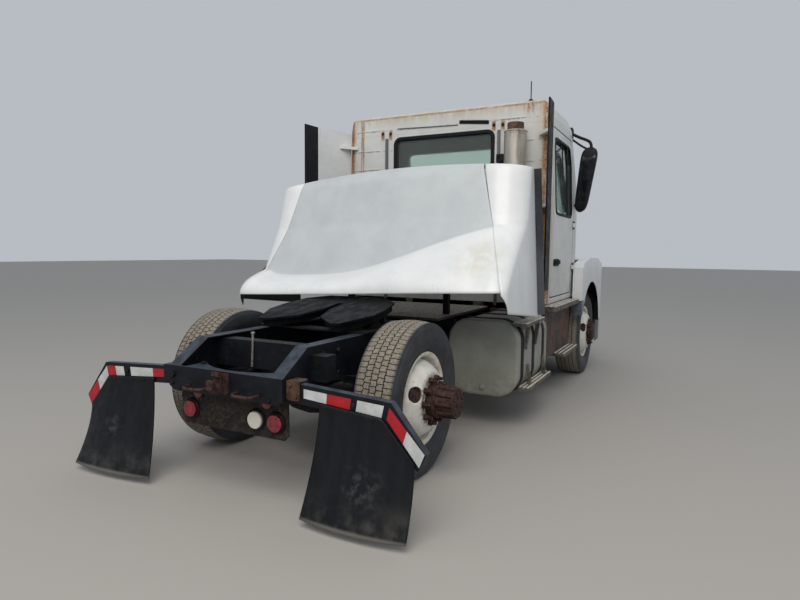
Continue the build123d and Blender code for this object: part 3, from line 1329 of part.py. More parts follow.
def hood_form(inset):
    """Hood, fenders and nose as one outside form, or drawn in by the moulding's thickness."""
    with BuildPart() as form:
        for station, half_w, shoulder, crown in HOOD_SECTIONS:
            front = inset if station == HOOD_FRONT_Y else 0
            w = half_w - inset
            with BuildSketch(Plane.XZ.offset(front - station)):
                with BuildLine():
                    Polyline(
                        (-w, HOOD_FLOOR), (-w, shoulder - inset), (-w * 0.86, shoulder + 110 - inset),
                        (-w * 0.5, crown - 30 - inset), (0, crown - inset), (w * 0.5, crown - 30 - inset),
                        (w * 0.86, shoulder + 110 - inset), (w, shoulder - inset), (w, HOOD_FLOOR),
                        close=True,
                    )
                make_face()
        loft(ruled=True)
        with BuildSketch(Plane.YZ.offset(-FENDER_X + inset)):
            with BuildLine():
                Polyline(
                    (FENDER_TAIL_Y + inset, 760 - inset * 20), (FENDER_TAIL_Y + inset, 1290 - inset),
                    (1420 + inset, 1345 - inset), (1800, 1400 - inset), (2350, 1392 - inset),
                    (2700, 1310 - inset), (2920 - inset, 1130 - inset), (HOOD_FRONT_Y - inset, 900),
                    (HOOD_FRONT_Y - inset, HOOD_BOTTOM - inset * 4),
                    (2400, HOOD_BOTTOM - inset * 4), (2200, 760), (1800, 760 - inset * 20), close=True,
                )
            make_face()
        extrude(amount=2 * (FENDER_X - inset))
        with BuildSketch(Plane.XY.offset(400)) as plan:
            with BuildLine():
                Polyline(
                    (-FENDER_X + inset, 1000), (-FENDER_X + inset, HOOD_FRONT_Y - 150 - inset),
                    (-620, HOOD_FRONT_Y - inset), (620, HOOD_FRONT_Y - inset),
                    (FENDER_X - inset, HOOD_FRONT_Y - 150 - inset), (FENDER_X - inset, 1000), close=True,
                )
            make_face()
            fillet(plan.vertices().group_by(Axis.Y)[-2], radius=230 - inset)
        extrude(amount=1600, mode=Mode.INTERSECT)
    return form.part


HOOD_OUTSIDE = hood_form(0)
HOOD_INSIDE = hood_form(HOOD_T)
LAMP_BOX = (770, 1160, 830, 1010)
GRILLE_HALF_W = 430
GRILLE_Z = (700, 1250)
with BuildPart() as hood:
    add(HOOD_OUTSIDE)
    add(HOOD_INSIDE, mode=Mode.SUBTRACT)
    with BuildSketch(Plane.YZ.offset(-FENDER_X - 20)):
        with Locations((FRONT_Y, AXLE_Z)):
            Circle(ARCH_R)
    extrude(amount=2 * FENDER_X + 40, mode=Mode.SUBTRACT)
    with BuildSketch(Plane.XY.offset(400)):
        with Locations((0, HOOD_REAR_Y - 500)):
            Rectangle(2 * (CAB_HALF_W + 12), 1000)
    extrude(amount=1600, mode=Mode.SUBTRACT)
    with BuildSketch(Plane.XZ.offset(-HOOD_FRONT_Y - 20)):
        with Locations((0, sum(GRILLE_Z) / 2)):
            RectangleRounded(2 * GRILLE_HALF_W, GRILLE_Z[1] - GRILLE_Z[0], 50)
        for side_name, side in SIDES:
            with Locations((side * (LAMP_BOX[0] + LAMP_BOX[1]) / 2, (LAMP_BOX[2] + LAMP_BOX[3]) / 2)):
                RectangleRounded(LAMP_BOX[1] - LAMP_BOX[0], LAMP_BOX[3] - LAMP_BOX[2], 30)
            with Locations((side * HINGE_X, HOOD_BOTTOM)):
                Rectangle(HINGE_EAR_T + 2 * MOVE_GAP, 2 * (HINGE_Z + 28 - HOOD_BOTTOM))
    extrude(amount=240, mode=Mode.SUBTRACT)
    for side_name, side in SIDES:
        for lug in (-1, 1):
            lug_x = side * HINGE_X + lug * (HINGE_EAR_T / 2 + MOVE_GAP + 5)
            with BuildSketch(Plane.YZ.offset(lug_x - 5)):
                with Locations((HINGE_Y, HINGE_Z)):
                    Circle(18)
                with BuildLine():
                    Polyline(
                        (HINGE_Y - 18, HINGE_Z - 4), (HINGE_Y + 17, HINGE_Z), (HOOD_FRONT_Y - 4, 694),
                        (HOOD_FRONT_Y - HOOD_T, 694), close=True,
                    )
                make_face()
            extrude(amount=10)
        with BuildSketch(Plane.YZ.offset(side * HINGE_X - HINGE_EAR_T / 2 - MOVE_GAP - 10)):
            with Locations((HINGE_Y, HINGE_Z)):
                Circle(HINGE_PIN_R)
        extrude(amount=HINGE_EAR_T + 2 * MOVE_GAP + 20)
save(hood, "hood")

with BuildPart() as headlamps:
    add(HOOD_OUTSIDE)
    add(hood_form(36), mode=Mode.SUBTRACT)
    with BuildSketch(Plane.XZ.offset(-HOOD_FRONT_Y - 20)):
        for side_name, side in SIDES:
            with Locations((side * (LAMP_BOX[0] + LAMP_BOX[1]) / 2, (LAMP_BOX[2] + LAMP_BOX[3]) / 2)):
                RectangleRounded(
                    LAMP_BOX[1] - LAMP_BOX[0] - 2 * SEAT_GAP, LAMP_BOX[3] - LAMP_BOX[2] - 2 * SEAT_GAP, 29,
                )
    extrude(amount=240, mode=Mode.INTERSECT)
save(headlamps, "headlamps")

# Grille: a frame in the nose opening with level slats
SLAT_COUNT = 9
with BuildPart() as grille:
    with BuildSketch(Plane.XZ.offset(-HOOD_FRONT_Y)) as grille_face:
        grille_w = 2 * (GRILLE_HALF_W - SEAT_GAP)
        grille_h = GRILLE_Z[1] - GRILLE_Z[0] - 2 * SEAT_GAP
        with Locations((0, sum(GRILLE_Z) / 2)):
            RectangleRounded(grille_w, grille_h, 50 - SEAT_GAP)
            RectangleRounded(grille_w - 60, grille_h - 60, 24, mode=Mode.SUBTRACT)
            with GridLocations(0, (grille_h - 60) / (SLAT_COUNT + 1), 1, SLAT_COUNT):
                Rectangle(grille_w - 40, 14)
            Rectangle(16, grille_h - 40)
    extrude(amount=26)
save(grille, "grille")

# Arch liners under the fenders, a bent sheet between two arcs
LINER_T = 6
LINER_DEG = (8, 128)
LINER_X = (600, FENDER_X - 1)
with BuildPart() as arch_liners:
    with BuildSketch(Plane.YZ.offset(LINER_X[0])):
        outer_r = ARCH_R - SEAT_GAP
        inner_r = outer_r - LINER_T
        arc_ends = []
        for radius in (outer_r, inner_r):
            arc_ends.append([
                (FRONT_Y + radius * cos(radians(a)), AXLE_Z + radius * sin(radians(a)))
                for a in (LINER_DEG[0], sum(LINER_DEG) / 2, LINER_DEG[1])
            ])
        with BuildLine():
            ThreePointArc(*arc_ends[0])
            Line(arc_ends[0][2], arc_ends[1][2])
            ThreePointArc(*reversed(arc_ends[1]))
            Line(arc_ends[1][0], arc_ends[0][0])
        make_face()
    extrude(amount=LINER_X[1] - LINER_X[0])
    mirror(about=Plane.YZ)
save(arch_liners, "arch_liners")

# Mirrors on two arms from the screen pillar
MIRROR_X = (1150, 1360)
MIRROR_Y = 1345
MIRROR_Z = (1910, 2620)
MIRROR_DEPTH = 96
SHELL_CLEAR = cab_form(-SEAT_GAP)
with BuildPart() as mirrors:
    with BuildSketch(Plane.XZ.offset(-MIRROR_Y - MIRROR_DEPTH / 2)) as mirror_face:
        with BuildLine():
            Polyline(
                (MIRROR_X[0] + 6, MIRROR_Z[0]), (MIRROR_X[1] - 90, MIRROR_Z[0] + 10),
                (MIRROR_X[1], MIRROR_Z[1] - 40), (MIRROR_X[1] - 30, MIRROR_Z[1]),
                (MIRROR_X[0] + 10, MIRROR_Z[1]), (MIRROR_X[0], MIRROR_Z[1] - 60), close=True,
            )
        make_face()
        fillet(mirror_face.vertices(), radius=24)
    extrude(amount=MIRROR_DEPTH)
    for arm_z, arm_y in ((MIRROR_Z[0] + 60, 1370), (MIRROR_Z[1] - 60, 1318)):
        with BuildSketch(Plane.YZ.offset(1000)):
            with Locations((arm_y, arm_z)):
                SlotOverall(40, 26)
        extrude(amount=200)
    add(SHELL_CLEAR, mode=Mode.SUBTRACT)
    mirror(about=Plane.YZ)
save(mirrors, "mirrors")

ANTENNA_AT = (880, 330)
ANTENNA_BASE_Z = 2860
with BuildPart() as antenna:
    with BuildSketch(Plane.XY.offset(ANTENNA_BASE_Z)):
        with Locations(ANTENNA_AT):
            Circle(20)
    extrude(amount=68)
    with BuildSketch(Plane.XY.offset(ANTENNA_BASE_Z)):
        with Locations(ANTENNA_AT):
            Circle(5)
    extrude(amount=240)
    add(SHELL_CLEAR, mode=Mode.SUBTRACT)
save(antenna, "antenna")

# Boxes beside the rails under the doors, each with its splash shield behind the front wheel
BOX_Y = (195, 1326)
BOX_X = (560, 1112)
STEP_Z = (430, 900)
with BuildPart() as step_boxes:
    with BuildSketch(Plane.YZ.offset(BOX_X[0])):
        with BuildLine():
            Polyline(
                (BOX_Y[0], STEP_Z[0]), (BOX_Y[1], STEP_Z[0]), (BOX_Y[1], STEP_Z[1]), (BOX_Y[0], STEP_Z[1]),
                close=True,
            )
        make_face()
        shield_outer = []
        for radius in (ARCH_R - 2, ARCH_R - 8):
            shield_outer.append([
                (FRONT_Y + radius * cos(radians(a)), AXLE_Z + radius * sin(radians(a)))
                for a in (182, 161, 140)
            ])
        with BuildLine():
            ThreePointArc(*shield_outer[0])
            Line(shield_outer[0][2], shield_outer[1][2])
            ThreePointArc(*reversed(shield_outer[1]))
            Line(shield_outer[1][0], shield_outer[0][0])
        make_face()
        with Locations((BOX_Y[1] + 16, 640)):
            Rectangle(44, 16)
    extrude(amount=BOX_X[1] - BOX_X[0])
    with BuildSketch(Plane.YZ.offset(RAIL_OUT_X + SEAT_GAP)):
        with Locations((BOX_Y[0] + 160, 760), (BOX_Y[1] - 160, 760)):
            Rectangle(60, 160)
    extrude(amount=BOX_X[0] - RAIL_OUT_X)
    mirror(about=Plane.YZ)
save(step_boxes, "step_boxes")

# Steps. Columns: x from, x to, y from, y to, underside, height
STEPS = (
    (1020, 1218, 165, 1326, STEP_Z[1] + SEAT_GAP, 42),
    (1020, 1222, 600, 1326, STEP_Z[0] - SEAT_GAP - 30, 30),
    (1090, 1222, -760, 40, 330, 24),
    (1090, 1218, -840, -230, 866, 22),
)
with BuildPart() as steps:
    for x_from, x_to, y_from, y_to, low_z, high in STEPS:
        with BuildSketch(Plane.XY.offset(low_z)):
            with Locations(((x_from + x_to) / 2, (y_from + y_to) / 2)):
                RectangleRounded(x_to - x_from, y_to - y_from, 12)
        extrude(amount=high)
    for x_from, x_to, y_from, y_to, low_z, high in STEPS[2:]:
        inward = 1 if low_z < 600 else -1
        arm_x = TANK_X[1] + STRAP_T + 2 * SEAT_GAP
        for arm_y in (y_from + 150, y_to - 150):
            with BuildSketch(Plane.XZ.offset(-arm_y - 15)):
                with BuildLine():
                    Polyline(
                        (arm_x, low_z + high / 2), (arm_x + 40, low_z + high / 2),
                        (arm_x + 12, low_z + inward * 200), (arm_x, low_z + inward * 200), close=True,
                    )
                make_face()
            extrude(amount=30)
    tank_clear = TANK_R + STRAP_T + SEAT_GAP
    with BuildSketch(Plane.XZ.offset(-TANK_Y[1] - 10)):
        with Locations((sum(TANK_X) / 2, sum(TANK_Z) / 2)):
            RectangleRounded(
                TANK_X[1] - TANK_X[0] + 2 * STRAP_T + 4 * SEAT_GAP,
                TANK_Z[1] - TANK_Z[0] + 2 * STRAP_T + 4 * SEAT_GAP, tank_clear,
            )
    extrude(amount=TANK_Y[1] - TANK_Y[0] + 60, mode=Mode.SUBTRACT)
    mirror(about=Plane.YZ)
save(steps, "steps")
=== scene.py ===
import json
import math

import bmesh
import bpy
import numpy as np
from mathutils import Matrix

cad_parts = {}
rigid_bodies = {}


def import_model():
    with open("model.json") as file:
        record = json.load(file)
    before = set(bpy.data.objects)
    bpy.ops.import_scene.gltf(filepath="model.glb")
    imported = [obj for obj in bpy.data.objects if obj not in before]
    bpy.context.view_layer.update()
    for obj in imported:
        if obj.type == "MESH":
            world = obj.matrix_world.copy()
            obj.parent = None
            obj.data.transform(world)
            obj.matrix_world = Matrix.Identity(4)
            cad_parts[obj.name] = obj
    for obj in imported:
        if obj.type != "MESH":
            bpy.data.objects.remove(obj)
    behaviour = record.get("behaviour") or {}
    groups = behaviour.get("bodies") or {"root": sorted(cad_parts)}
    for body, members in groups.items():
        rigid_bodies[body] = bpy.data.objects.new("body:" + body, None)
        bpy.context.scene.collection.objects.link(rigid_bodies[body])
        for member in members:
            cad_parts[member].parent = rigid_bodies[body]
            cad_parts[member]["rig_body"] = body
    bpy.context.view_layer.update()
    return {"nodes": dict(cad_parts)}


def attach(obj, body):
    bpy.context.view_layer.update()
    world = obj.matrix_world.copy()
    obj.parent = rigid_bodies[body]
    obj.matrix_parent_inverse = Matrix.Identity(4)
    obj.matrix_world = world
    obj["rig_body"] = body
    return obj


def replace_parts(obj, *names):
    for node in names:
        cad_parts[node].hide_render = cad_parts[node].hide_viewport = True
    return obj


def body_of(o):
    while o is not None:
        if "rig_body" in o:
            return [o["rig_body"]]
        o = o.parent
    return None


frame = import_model()
nodes = frame["nodes"]

# Lengthways places below are measured from the truck's own datum, which lies at this y of the shared frame
DATUM_Y = -0.0565
SIDES = (("left", -1), ("right", 1))
REARWARD = (0, -1, 0)
UPWARD = (0, 0, 1)
# Columns: place along the truck, distance of the wheels' middle plane from the truck's middle
REAR_AXLE = (-2.0, 0.752)
FRONT_AXLE = (1.946, 1.060)
AXLE_Z = 0.505
CAB_BACK = 0.230
# Studs on the cab's back. Columns: place across, height
STUDS = ((-0.694, 2.711), (-0.600, 2.703), (0.547, 2.697), (0.638, 2.694))


def srgb(hex_code):
    """Linear colour with alpha 1 from an sRGB hex code: each channel goes through the sRGB curve."""
    channels = [int(hex_code[i:i + 2], 16) / 255 for i in (0, 2, 4)]
    return [c / 12.92 if c <= 0.04045 else ((c + 0.055) / 1.055) ** 2.4 for c in channels] + [1.0]


def put(tree, kind, inputs=None, **settings):
    """Adds one node with its settings; each input is a value, or the socket that feeds it."""
    made = tree.nodes.new(kind)
    for key, value in settings.items():
        setattr(made, key, value)
    for key, value in (inputs or {}).items():
        if isinstance(value, bpy.types.NodeSocket):
            tree.links.new(value, made.inputs[key])
        else:
            made.inputs[key].default_value = value
    return made


def ramp(tree, value, gone, full):
    """Mask that rises smoothly from 0 where the value is gone to 1 where it is full."""
    return put(tree, "ShaderNodeMapRange", {"Value": value, "From Min": gone, "From Max": full},
               interpolation_type="SMOOTHSTEP").outputs["Result"]


def patches(tree, size_mm, low, high, stretch=(1, 1, 1), shift=0.0):
    """Mask of irregular patches: noise of that size, 0 below low and 1 above high.

    Object coordinates are the shared frame's, because every piece lies at its origin.
    """
    where = put(tree, "ShaderNodeTexCoord").outputs["Object"]
    scaled = put(tree, "ShaderNodeMapping", {"Vector": where, "Scale": stretch,
                                             "Location": (shift, shift * 0.7, shift * 1.3)})
    noise = put(tree, "ShaderNodeTexNoise", {"Vector": scaled.outputs[0], "Scale": 1000 / size_mm,
                                             "Detail": 5, "Roughness": 0.6})
    return ramp(tree, noise.outputs["Fac"], low, high)


def fade(tree, full, gone):
    """Mask that is 1 at the height full and fades to 0 at the height gone."""
    where = put(tree, "ShaderNodeTexCoord").outputs["Object"]
    return ramp(tree, put(tree, "ShaderNodeSeparateXYZ", {0: where}).outputs[2], gone, full)


def facing(tree, axis, low, high):
    """Mask of the surfaces whose normal points along one axis: 0 below low and 1 above high."""
    normal = put(tree, "ShaderNodeNewGeometry").outputs["Normal"]
    return ramp(tree, put(tree, "ShaderNodeSeparateXYZ", {0: normal}).outputs[axis], low, high)


def ridges(tree, spacing_mm, axis):
    """Rounded ridges across one axis, as lamp prisms or threads: at scale 1 the waves are 2 pi / 20 m apart."""
    where = put(tree, "ShaderNodeTexCoord").outputs["Object"]
    return put(tree, "ShaderNodeTexWave", {"Vector": where, "Scale": 2 * math.pi / 20 * 1000 / spacing_mm},
               bands_direction=axis).outputs["Fac"]


def crossed_threads(tree, spacing_mm):
    """Warp and weft: the product of two systems of ridges."""
    return times(tree, (ridges, spacing_mm, "X"), (ridges, spacing_mm, "Z"))


def cells(tree, size_mm, feature):
    """Small cells: how far each place is from its cell's middle or edge."""
    where = put(tree, "ShaderNodeTexCoord").outputs["Object"]
    return put(tree, "ShaderNodeTexVoronoi", {"Scale": 1000 / size_mm, "Vector": where},
               feature=feature).outputs["Distance"]


def apart(tree, point, flat=(1, 1, 1)):
    """Vector from a point, given from the truck's datum, with the axes where flat holds 0 left out."""
    x, y, z = point
    where = put(tree, "ShaderNodeTexCoord").outputs["Object"]
    whole = put(tree, "ShaderNodeVectorMath", {0: where, 1: (x, y + DATUM_Y, z)},
                operation="SUBTRACT").outputs[0]
    return put(tree, "ShaderNodeVectorMath", {0: whole, 1: flat}, operation="MULTIPLY").outputs[0]


def near(tree, point, radius, soft=0.0, flat=(1, 1, 1)):
    """Mask that is 1 within soft metres of a point and gone at radius metres; it runs along left-out axes."""
    size = put(tree, "ShaderNodeVectorMath", {0: apart(tree, point, flat)}, operation="LENGTH")
    return ramp(tree, size.outputs["Value"], radius, soft)


def uprights(tree, places, radius, soft=0.0):
    """Mask of upright lines on the cab's back at some places across the truck."""
    return either(tree, *((near, (x, CAB_BACK, 0.0), radius, soft, (1, 1, 0)) for x in places))


def levels(tree, heights, radius, soft=0.0):
    """Mask of level lines on the cab's back at some heights."""
    return either(tree, *((near, (0.0, CAB_BACK, z), radius, soft, (0, 1, 1)) for z in heights))


def round_axles(tree, radius, soft):
    """Mask of the places nearer to either axle's line than a radius, full within soft metres of it."""
    return either(tree, *((near, (0.0, axle_y, AXLE_Z), radius, soft, (0, 1, 1))
                          for axle_y, _ in (REAR_AXLE, FRONT_AXLE)))


def turned_in(tree, middle):
    """Mask of the surfaces whose normal points towards a point: the inside of a shell."""
    normal = put(tree, "ShaderNodeNewGeometry").outputs["Normal"]
    outwards = put(tree, "ShaderNodeVectorMath", {0: apart(tree, middle), 1: normal},
                   operation="DOT_PRODUCT").outputs["Value"]
    return put(tree, "ShaderNodeMath", {0: outwards, 1: 0.0}, operation="LESS_THAN").outputs[0]


def beyond(tree, axis, value, operation):
    """Mask of one side of a plane across an axis, measured from the truck's datum."""
    where = put(tree, "ShaderNodeTexCoord").outputs["Object"]
    measured = put(tree, "ShaderNodeSeparateXYZ", {0: where}).outputs[axis]
    return put(tree, "ShaderNodeMath", {0: measured, 1: value + (DATUM_Y if axis == 1 else 0.0)},
               operation=operation).outputs[0]


def mask(tree, part):
    """A mask from its description.

    A tuple is a function with its values, or the values of patches; a word names an attribute of the piece's mesh;
    a socket or a number stays as it is.
    """
    if isinstance(part, str):
        return put(tree, "ShaderNodeAttribute", attribute_name=part).outputs["Fac"]
    if not isinstance(part, tuple):
        return part
    return part[0](tree, *part[1:]) if callable(part[0]) else patches(tree, *part)


def joined(tree, operation, parts):
    """Several masks put together by one operation of the Math node."""
    result, *others = (mask(tree, part) for part in parts)
    for other in others:
        result = put(tree, "ShaderNodeMath", {0: result, 1: other}, operation=operation).outputs[0]
    return result


def times(tree, *parts):
    """Product of several masks or numbers."""
    return joined(tree, "MULTIPLY", parts)


def either(tree, *parts):
    """Largest of several masks."""
    return joined(tree, "MAXIMUM", parts)


def tint(tree, colour):
    """Linear colour of a hex code, or of (mask, one hex code, other hex code) mottled by the mask."""
    if isinstance(colour, str):
        return srgb(colour)
    where, one, other = colour
    return put(tree, "ShaderNodeMix", {0: mask(tree, where), 6: srgb(one), 7: srgb(other)},
               data_type="RGBA").outputs[2]


def surface(name, base, *layers, rough=None, grain=None, **sockets):
    """Material of a base colour with layers of (colour, masks) over it, an uneven gloss and a fine relief.

    rough is (mask, lowest, highest roughness) and grain is (mask, depth in mm). A number in the mask's place is
    the size in mm of even patches. A layer may also be a function of the tree that gives several layers.
    """
    made = bpy.data.materials.new(name)
    made.use_nodes = True
    tree = made.node_tree
    shader = tree.nodes["Principled BSDF"]
    for key, value in sockets.items():
        shader.inputs[key.replace("_", " ").title().replace("Ior", "IOR")].default_value = value
    colour = tint(tree, base)
    for layer in layers:
        for top, *masks in (layer(tree) if callable(layer) else [layer]):
            colour = put(tree, "ShaderNodeMix", {0: times(tree, *masks), 6: colour, 7: tint(tree, top)},
                         data_type="RGBA").outputs[2]
    tree.links.new(colour, shader.inputs["Base Color"])
    if rough:
        where, lowest, highest = rough
        where = mask(tree, (where, 0.3, 0.7) if isinstance(where, (int, float)) else where)
        uneven = put(tree, "ShaderNodeMapRange", {"Value": where, "To Min": lowest, "To Max": highest})
        tree.links.new(uneven.outputs["Result"], shader.inputs["Roughness"])
    if grain:
        where, depth_mm = grain
        where = mask(tree, (where, 0.2, 0.8) if isinstance(where, (int, float)) else where)
        bump = put(tree, "ShaderNodeBump", {"Height": where, "Distance": depth_mm / 1000, "Strength": 1.0})
        tree.links.new(bump.outputs[0], shader.inputs["Normal"])
    return made


def cab_rust(tree):
    """Tan wash and brown rust on the cab's back, from its corners, its eave, its studs and its beads."""
    back = facing(tree, 1, 0.25, -0.25)
    runs = (30, 0.36, 0.58, (1.8, 1, 0.12), 3.0)
    edges = either(tree, (uprights, (-1.10,), 0.17, 0.02), (uprights, (1.095,), 0.20, 0.02),
                   (levels, (2.885,), 0.13, 0.01))
    wash = times(tree, edges, (110, 0.25, 0.6, (1.6, 1, 0.5)), back)
    seams = either(tree, (uprights, (-1.095,), 0.066, 0.030), (uprights, (1.090,), 0.075, 0.034))
    corners = times(tree, seams, (60, 0.28, 0.52, (1.6, 1, 0.4)))
    eave = times(tree, (levels, (2.880,), 0.030, 0.006), (160, 0.30, 0.55))
    hung = times(tree, (levels, (2.870,), 0.15),
                 (either, (uprights, (0.90,), 0.10), (uprights, (1.04,), 0.08)), runs)
    drip = times(tree, (uprights, (-0.945,), 0.032, 0.010), (fade, 2.80, 1.6), runs)
    under_studs = times(tree, (uprights, [x for x, _ in STUDS], 0.026, 0.012),
                        (levels, (2.690,), 0.07, 0.02), 0.95)
    beads = times(tree, (levels, (2.738, 2.527, 2.328), 0.012), (45, 0.45, 0.62), 0.6)
    rust = times(tree, either(tree, corners, eave, hung, drip, under_studs, beads), back)
    return (("B9A077", wash, 0.55), ("A87638", rust, 0.88), ("6B401E", rust, (16, 0.42, 0.58), 0.85))


def hub_rust(tree):
    """Rust creeping over a wheel's disc from its hub, and a tan stain in the rim's well."""
    hub = round_axles(tree, 0.205, 0.125)
    inside = round_axles(tree, 0.262, 0.246)
    well = put(tree, "ShaderNodeMath", {0: 1.0, 1: inside}, operation="SUBTRACT").outputs[0]
    return (("7D5430", hub, (20, 0.42, 0.56), 0.9), ("452A1B", hub, (11, 0.50, 0.60)),
            ("B99A6C", well, (50, 0.35, 0.65, (1, 1, 1), 2.0), 0.55))


# Sprayed white enamel gone slightly cream: brown rust runs from seams and studs, road dust low down, and the
# inside faces of the cab are painted dark grey as painted shade
AGED_ENAMEL = surface(
    "aged white enamel", ((420, 0.3, 0.7), "CCD0CE", "DBDEDC"), cab_rust,
    ("A39C8C", (fade, 0.9, 1.5), (60, 0.3, 0.8), 0.45),
    # dark grey on the faces turned into the cab: painted shade
    ("24272C", (turned_in, (0.0, 1.0, 1.9)), (beyond, 1, 0.245, "GREATER_THAN")),
    rough=(30, 0.32, 0.5), grain=(4, 0.05), coat_weight=0.2, coat_roughness=0.25)
# Moulded fibreglass with a white gelcoat: cool white, faint chalking, thin dirt runs, specks and spray low down
GELCOAT_LAYERS = (
    ((300, 0.3, 0.7), "DEE3E5", "E9ECED"), ("A7A79C", (26, 0.55, 0.75, (1, 1, 0.12)), 0.2),
    ("6F6F68", (16, 0.70, 0.76), (240, 0.5, 0.6), 0.5),
    ("A59D8D", (fade, 0.7, 1.25), (80, 0.3, 0.75), 0.4))
GELCOAT_GLOSS = {"rough": (50, 0.26, 0.40), "grain": (180, 0.7), "coat_weight": 0.3, "coat_roughness": 0.22}
GELCOAT = surface("white gelcoat", *GELCOAT_LAYERS, **GELCOAT_GLOSS)
# The hood's gelcoat, with the low rear ends of the fenders in grey: a rubber extension bolted to the moulding
HOOD_GELCOAT = surface(
    "white hood gelcoat", *GELCOAT_LAYERS,
    (((90, 0.35, 0.65), "4F565E", "676E76"), (beyond, 2, 0.925, "LESS_THAN"),
     (beyond, 1, 1.45, "LESS_THAN")),
    **GELCOAT_GLOSS)
# The same gelcoat on the fairing: the sunk upper panel is greyer and rougher than the glossier skirt, painted shade
# darkens the crease, there is a yellow stain, scuffs and specks, and the inside is dark raw moulding
FAIRING_GELCOAT = surface(
    "fairing gelcoat with painted crease shade", ((260, 0.3, 0.7), "E4E9EB", "EFF2F3"),
    # grey upper panel; the thin darker line along the crease is painted shade
    (((340, 0.3, 0.7), "BDC5C9", "C9D0D3"), "panel"), ("7E8386", "crease", 0.5),
    ("CFC9A8", (near, (0.98, -1.32, 1.42), 0.30), (90, 0.35, 0.65, (1, 1, 0.5)), 0.55),
    ("767A78", (either, (near, (-0.64, -1.49, 1.19), 0.10), (near, (1.19, -1.05, 1.12), 0.12),
                (near, (0.66, -1.48, 1.18), 0.08)), (12, 0.56, 0.66), 0.6),
    ("7C7F7E", (13, 0.70, 0.75), (300, 0.5, 0.6), 0.55),
    ("98988C", (40, 0.56, 0.76, (1, 1, 0.1)), (fade, 1.3, 2.0), 0.16),
    (((120, 0.3, 0.7), "2C2A28", "3D3A36"), (turned_in, (0.0, -0.3, 0.4))),
    rough=("panel", 0.28, 0.42), grain=(210, 0.5), coat_weight=0.25, coat_roughness=0.25)
# Brushed-on black chassis paint: satin, dust on the upper faces, rust where it has chipped
CHASSIS_BLACK = surface(
    "brushed chassis black", ((120, 0.35, 0.65), "0D0F14", "181B22"), ("4A2C1B", (34, 0.62, 0.68), 0.5),
    ("3E3C39", (facing, 2, 0.3, 0.95), (45, 0.25, 0.7), 0.35),
    rough=(14, 0.42, 0.72), grain=(6, 0.25), specular_ior_level=0.25)
# The same paint, with slate grey on flat upper faces as painted sky light and near black on the upright ones
END_GREY = surface(
    "tail paint with painted sky light", ((90, 0.35, 0.65), "0C0F16", "151922"),
    # slate grey on faces that point up: painted sky light
    (((70, 0.35, 0.65), "2B313B", "414954"), (facing, 2, 0.2, 0.8)), ("3A2318", (20, 0.64, 0.69), 0.6),
    rough=(18, 0.42, 0.66), grain=(5, 0.2), specular_ior_level=0.25)
# Sheet steel lamp panel whose black paint is buried under brown road dirt
DIRTY_PANEL = surface(
    "mud-covered sheet steel", ((70, 0.35, 0.65), "1C1A18", "2C2824"), ("443C33", (28, 0.5, 0.64), 0.7),
    ("432A1C", (40, 0.6, 0.68), 0.6), rough=(18, 0.6, 0.85), grain=(9, 0.6), specular_ior_level=0.25)
# Bare cast iron left to rust: dark brown with redder scale and a pitted skin
RUSTED_IRON = surface(
    "rusted cast iron", ((22, 0.40, 0.62), "30211F", "4D3833"), ("745343", (9, 0.58, 0.70), 0.7),
    rough=(12, 0.5, 0.8), grain=(7, 0.9), metallic=0.15, specular_ior_level=0.25)
# Rolled steel with an even coat of old rust, redder than the castings
RUSTED_SHEET = surface(
    "rusted rolled steel", ((60, 0.38, 0.64), "3E2A20", "5F4434"), ("8E6A50", (15, 0.56, 0.70), 0.5),
    rough=(22, 0.6, 0.85), grain=(8, 0.4), metallic=0.1)
# Side box of painted steel: black paint that road salt has lifted, rusty brown over most of the face
RUSTED_BOX = surface(
    "salt-lifted box paint", ((150, 0.42, 0.56), "2A2C31", "5B3D30"), ("7D5842", (24, 0.54, 0.68), 0.6),
    rough=(20, 0.55, 0.8), grain=(7, 0.4))
# Machined coupling plate under old grease: near black, smears of uneven gloss, dust stuck to it
SMEAR = (70, 0.40, 0.62, (1, 0.4, 1))
GREASED_STEEL = surface(
    "greased coupling steel", (SMEAR, "07090D", "12151B"), ("242321", (25, 0.5, 0.7), 0.3),
    rough=(SMEAR, 0.5, 0.75), grain=(12, 0.5), specular_ior_level=0.12)
# White stove enamel on a pressed steel wheel, with rust round the hub, a stained well and brown specks
RIM_ENAMEL = surface(
    "white wheel enamel", ((60, 0.3, 0.7), "D3D2CA", "E4E3DE"), hub_rust, ("7A4D27", (14, 0.66, 0.71), 0.8),
    rough=(20, 0.3, 0.55), grain=(5, 0.15))
# Moulded tyre rubber: tan dust on the worn block faces, charcoal walls that have greyed
TYRE_RUBBER = surface(
    "moulded tyre rubber", ((130, 0.35, 0.65), "24272C", "34383E"),
    (((14, 0.3, 0.7), "706A61", "989082"), "wear"),
    rough=("wear", 0.6, 0.85), grain=(3, 0.25))
# Calendered black rubber sheet: bluish black, a pale scuff low in its middle, a dusty lower edge
SHEET_RUBBER = surface(
    "calendered sheet rubber", ((200, 0.3, 0.7, (3, 1, 0.5)), "0B0D12", "14171D"),
    ("5A5955", (fade, 0.04, 0.26), (110, 0.35, 0.75), 0.6),
    ("5D5F62", (either, (near, (0.95, -2.93, 0.26), 0.17), (near, (-0.93, -2.93, 0.30), 0.12)),
     (40, 0.42, 0.66), 0.4),
    ("7A7771", (fade, 0.046, 0.064), 0.7), rough=(60, 0.46, 0.68), grain=(260, 3.0), specular_ior_level=0.25)
# Extruded grey rubber trim, weathered matt
EXTRUDED_GREY = surface(
    "extruded grey rubber", ((120, 0.3, 0.7, (1, 1, 0.3)), "5C6068", "72767D"),
    rough=(30, 0.5, 0.72), grain=(5, 0.2))
# Extruded edge seal of slate rubber: nearly black high up, grey lower down
SEAL_RUBBER = surface(
    "slate seal rubber", ((fade, 1.30, 1.70), "1C2027", "4B4E54"),
    ("5C6066", (70, 0.35, 0.65, (1, 1, 0.3)), 0.3),
    rough=(30, 0.5, 0.72), grain=(5, 0.2), specular_ior_level=0.3)
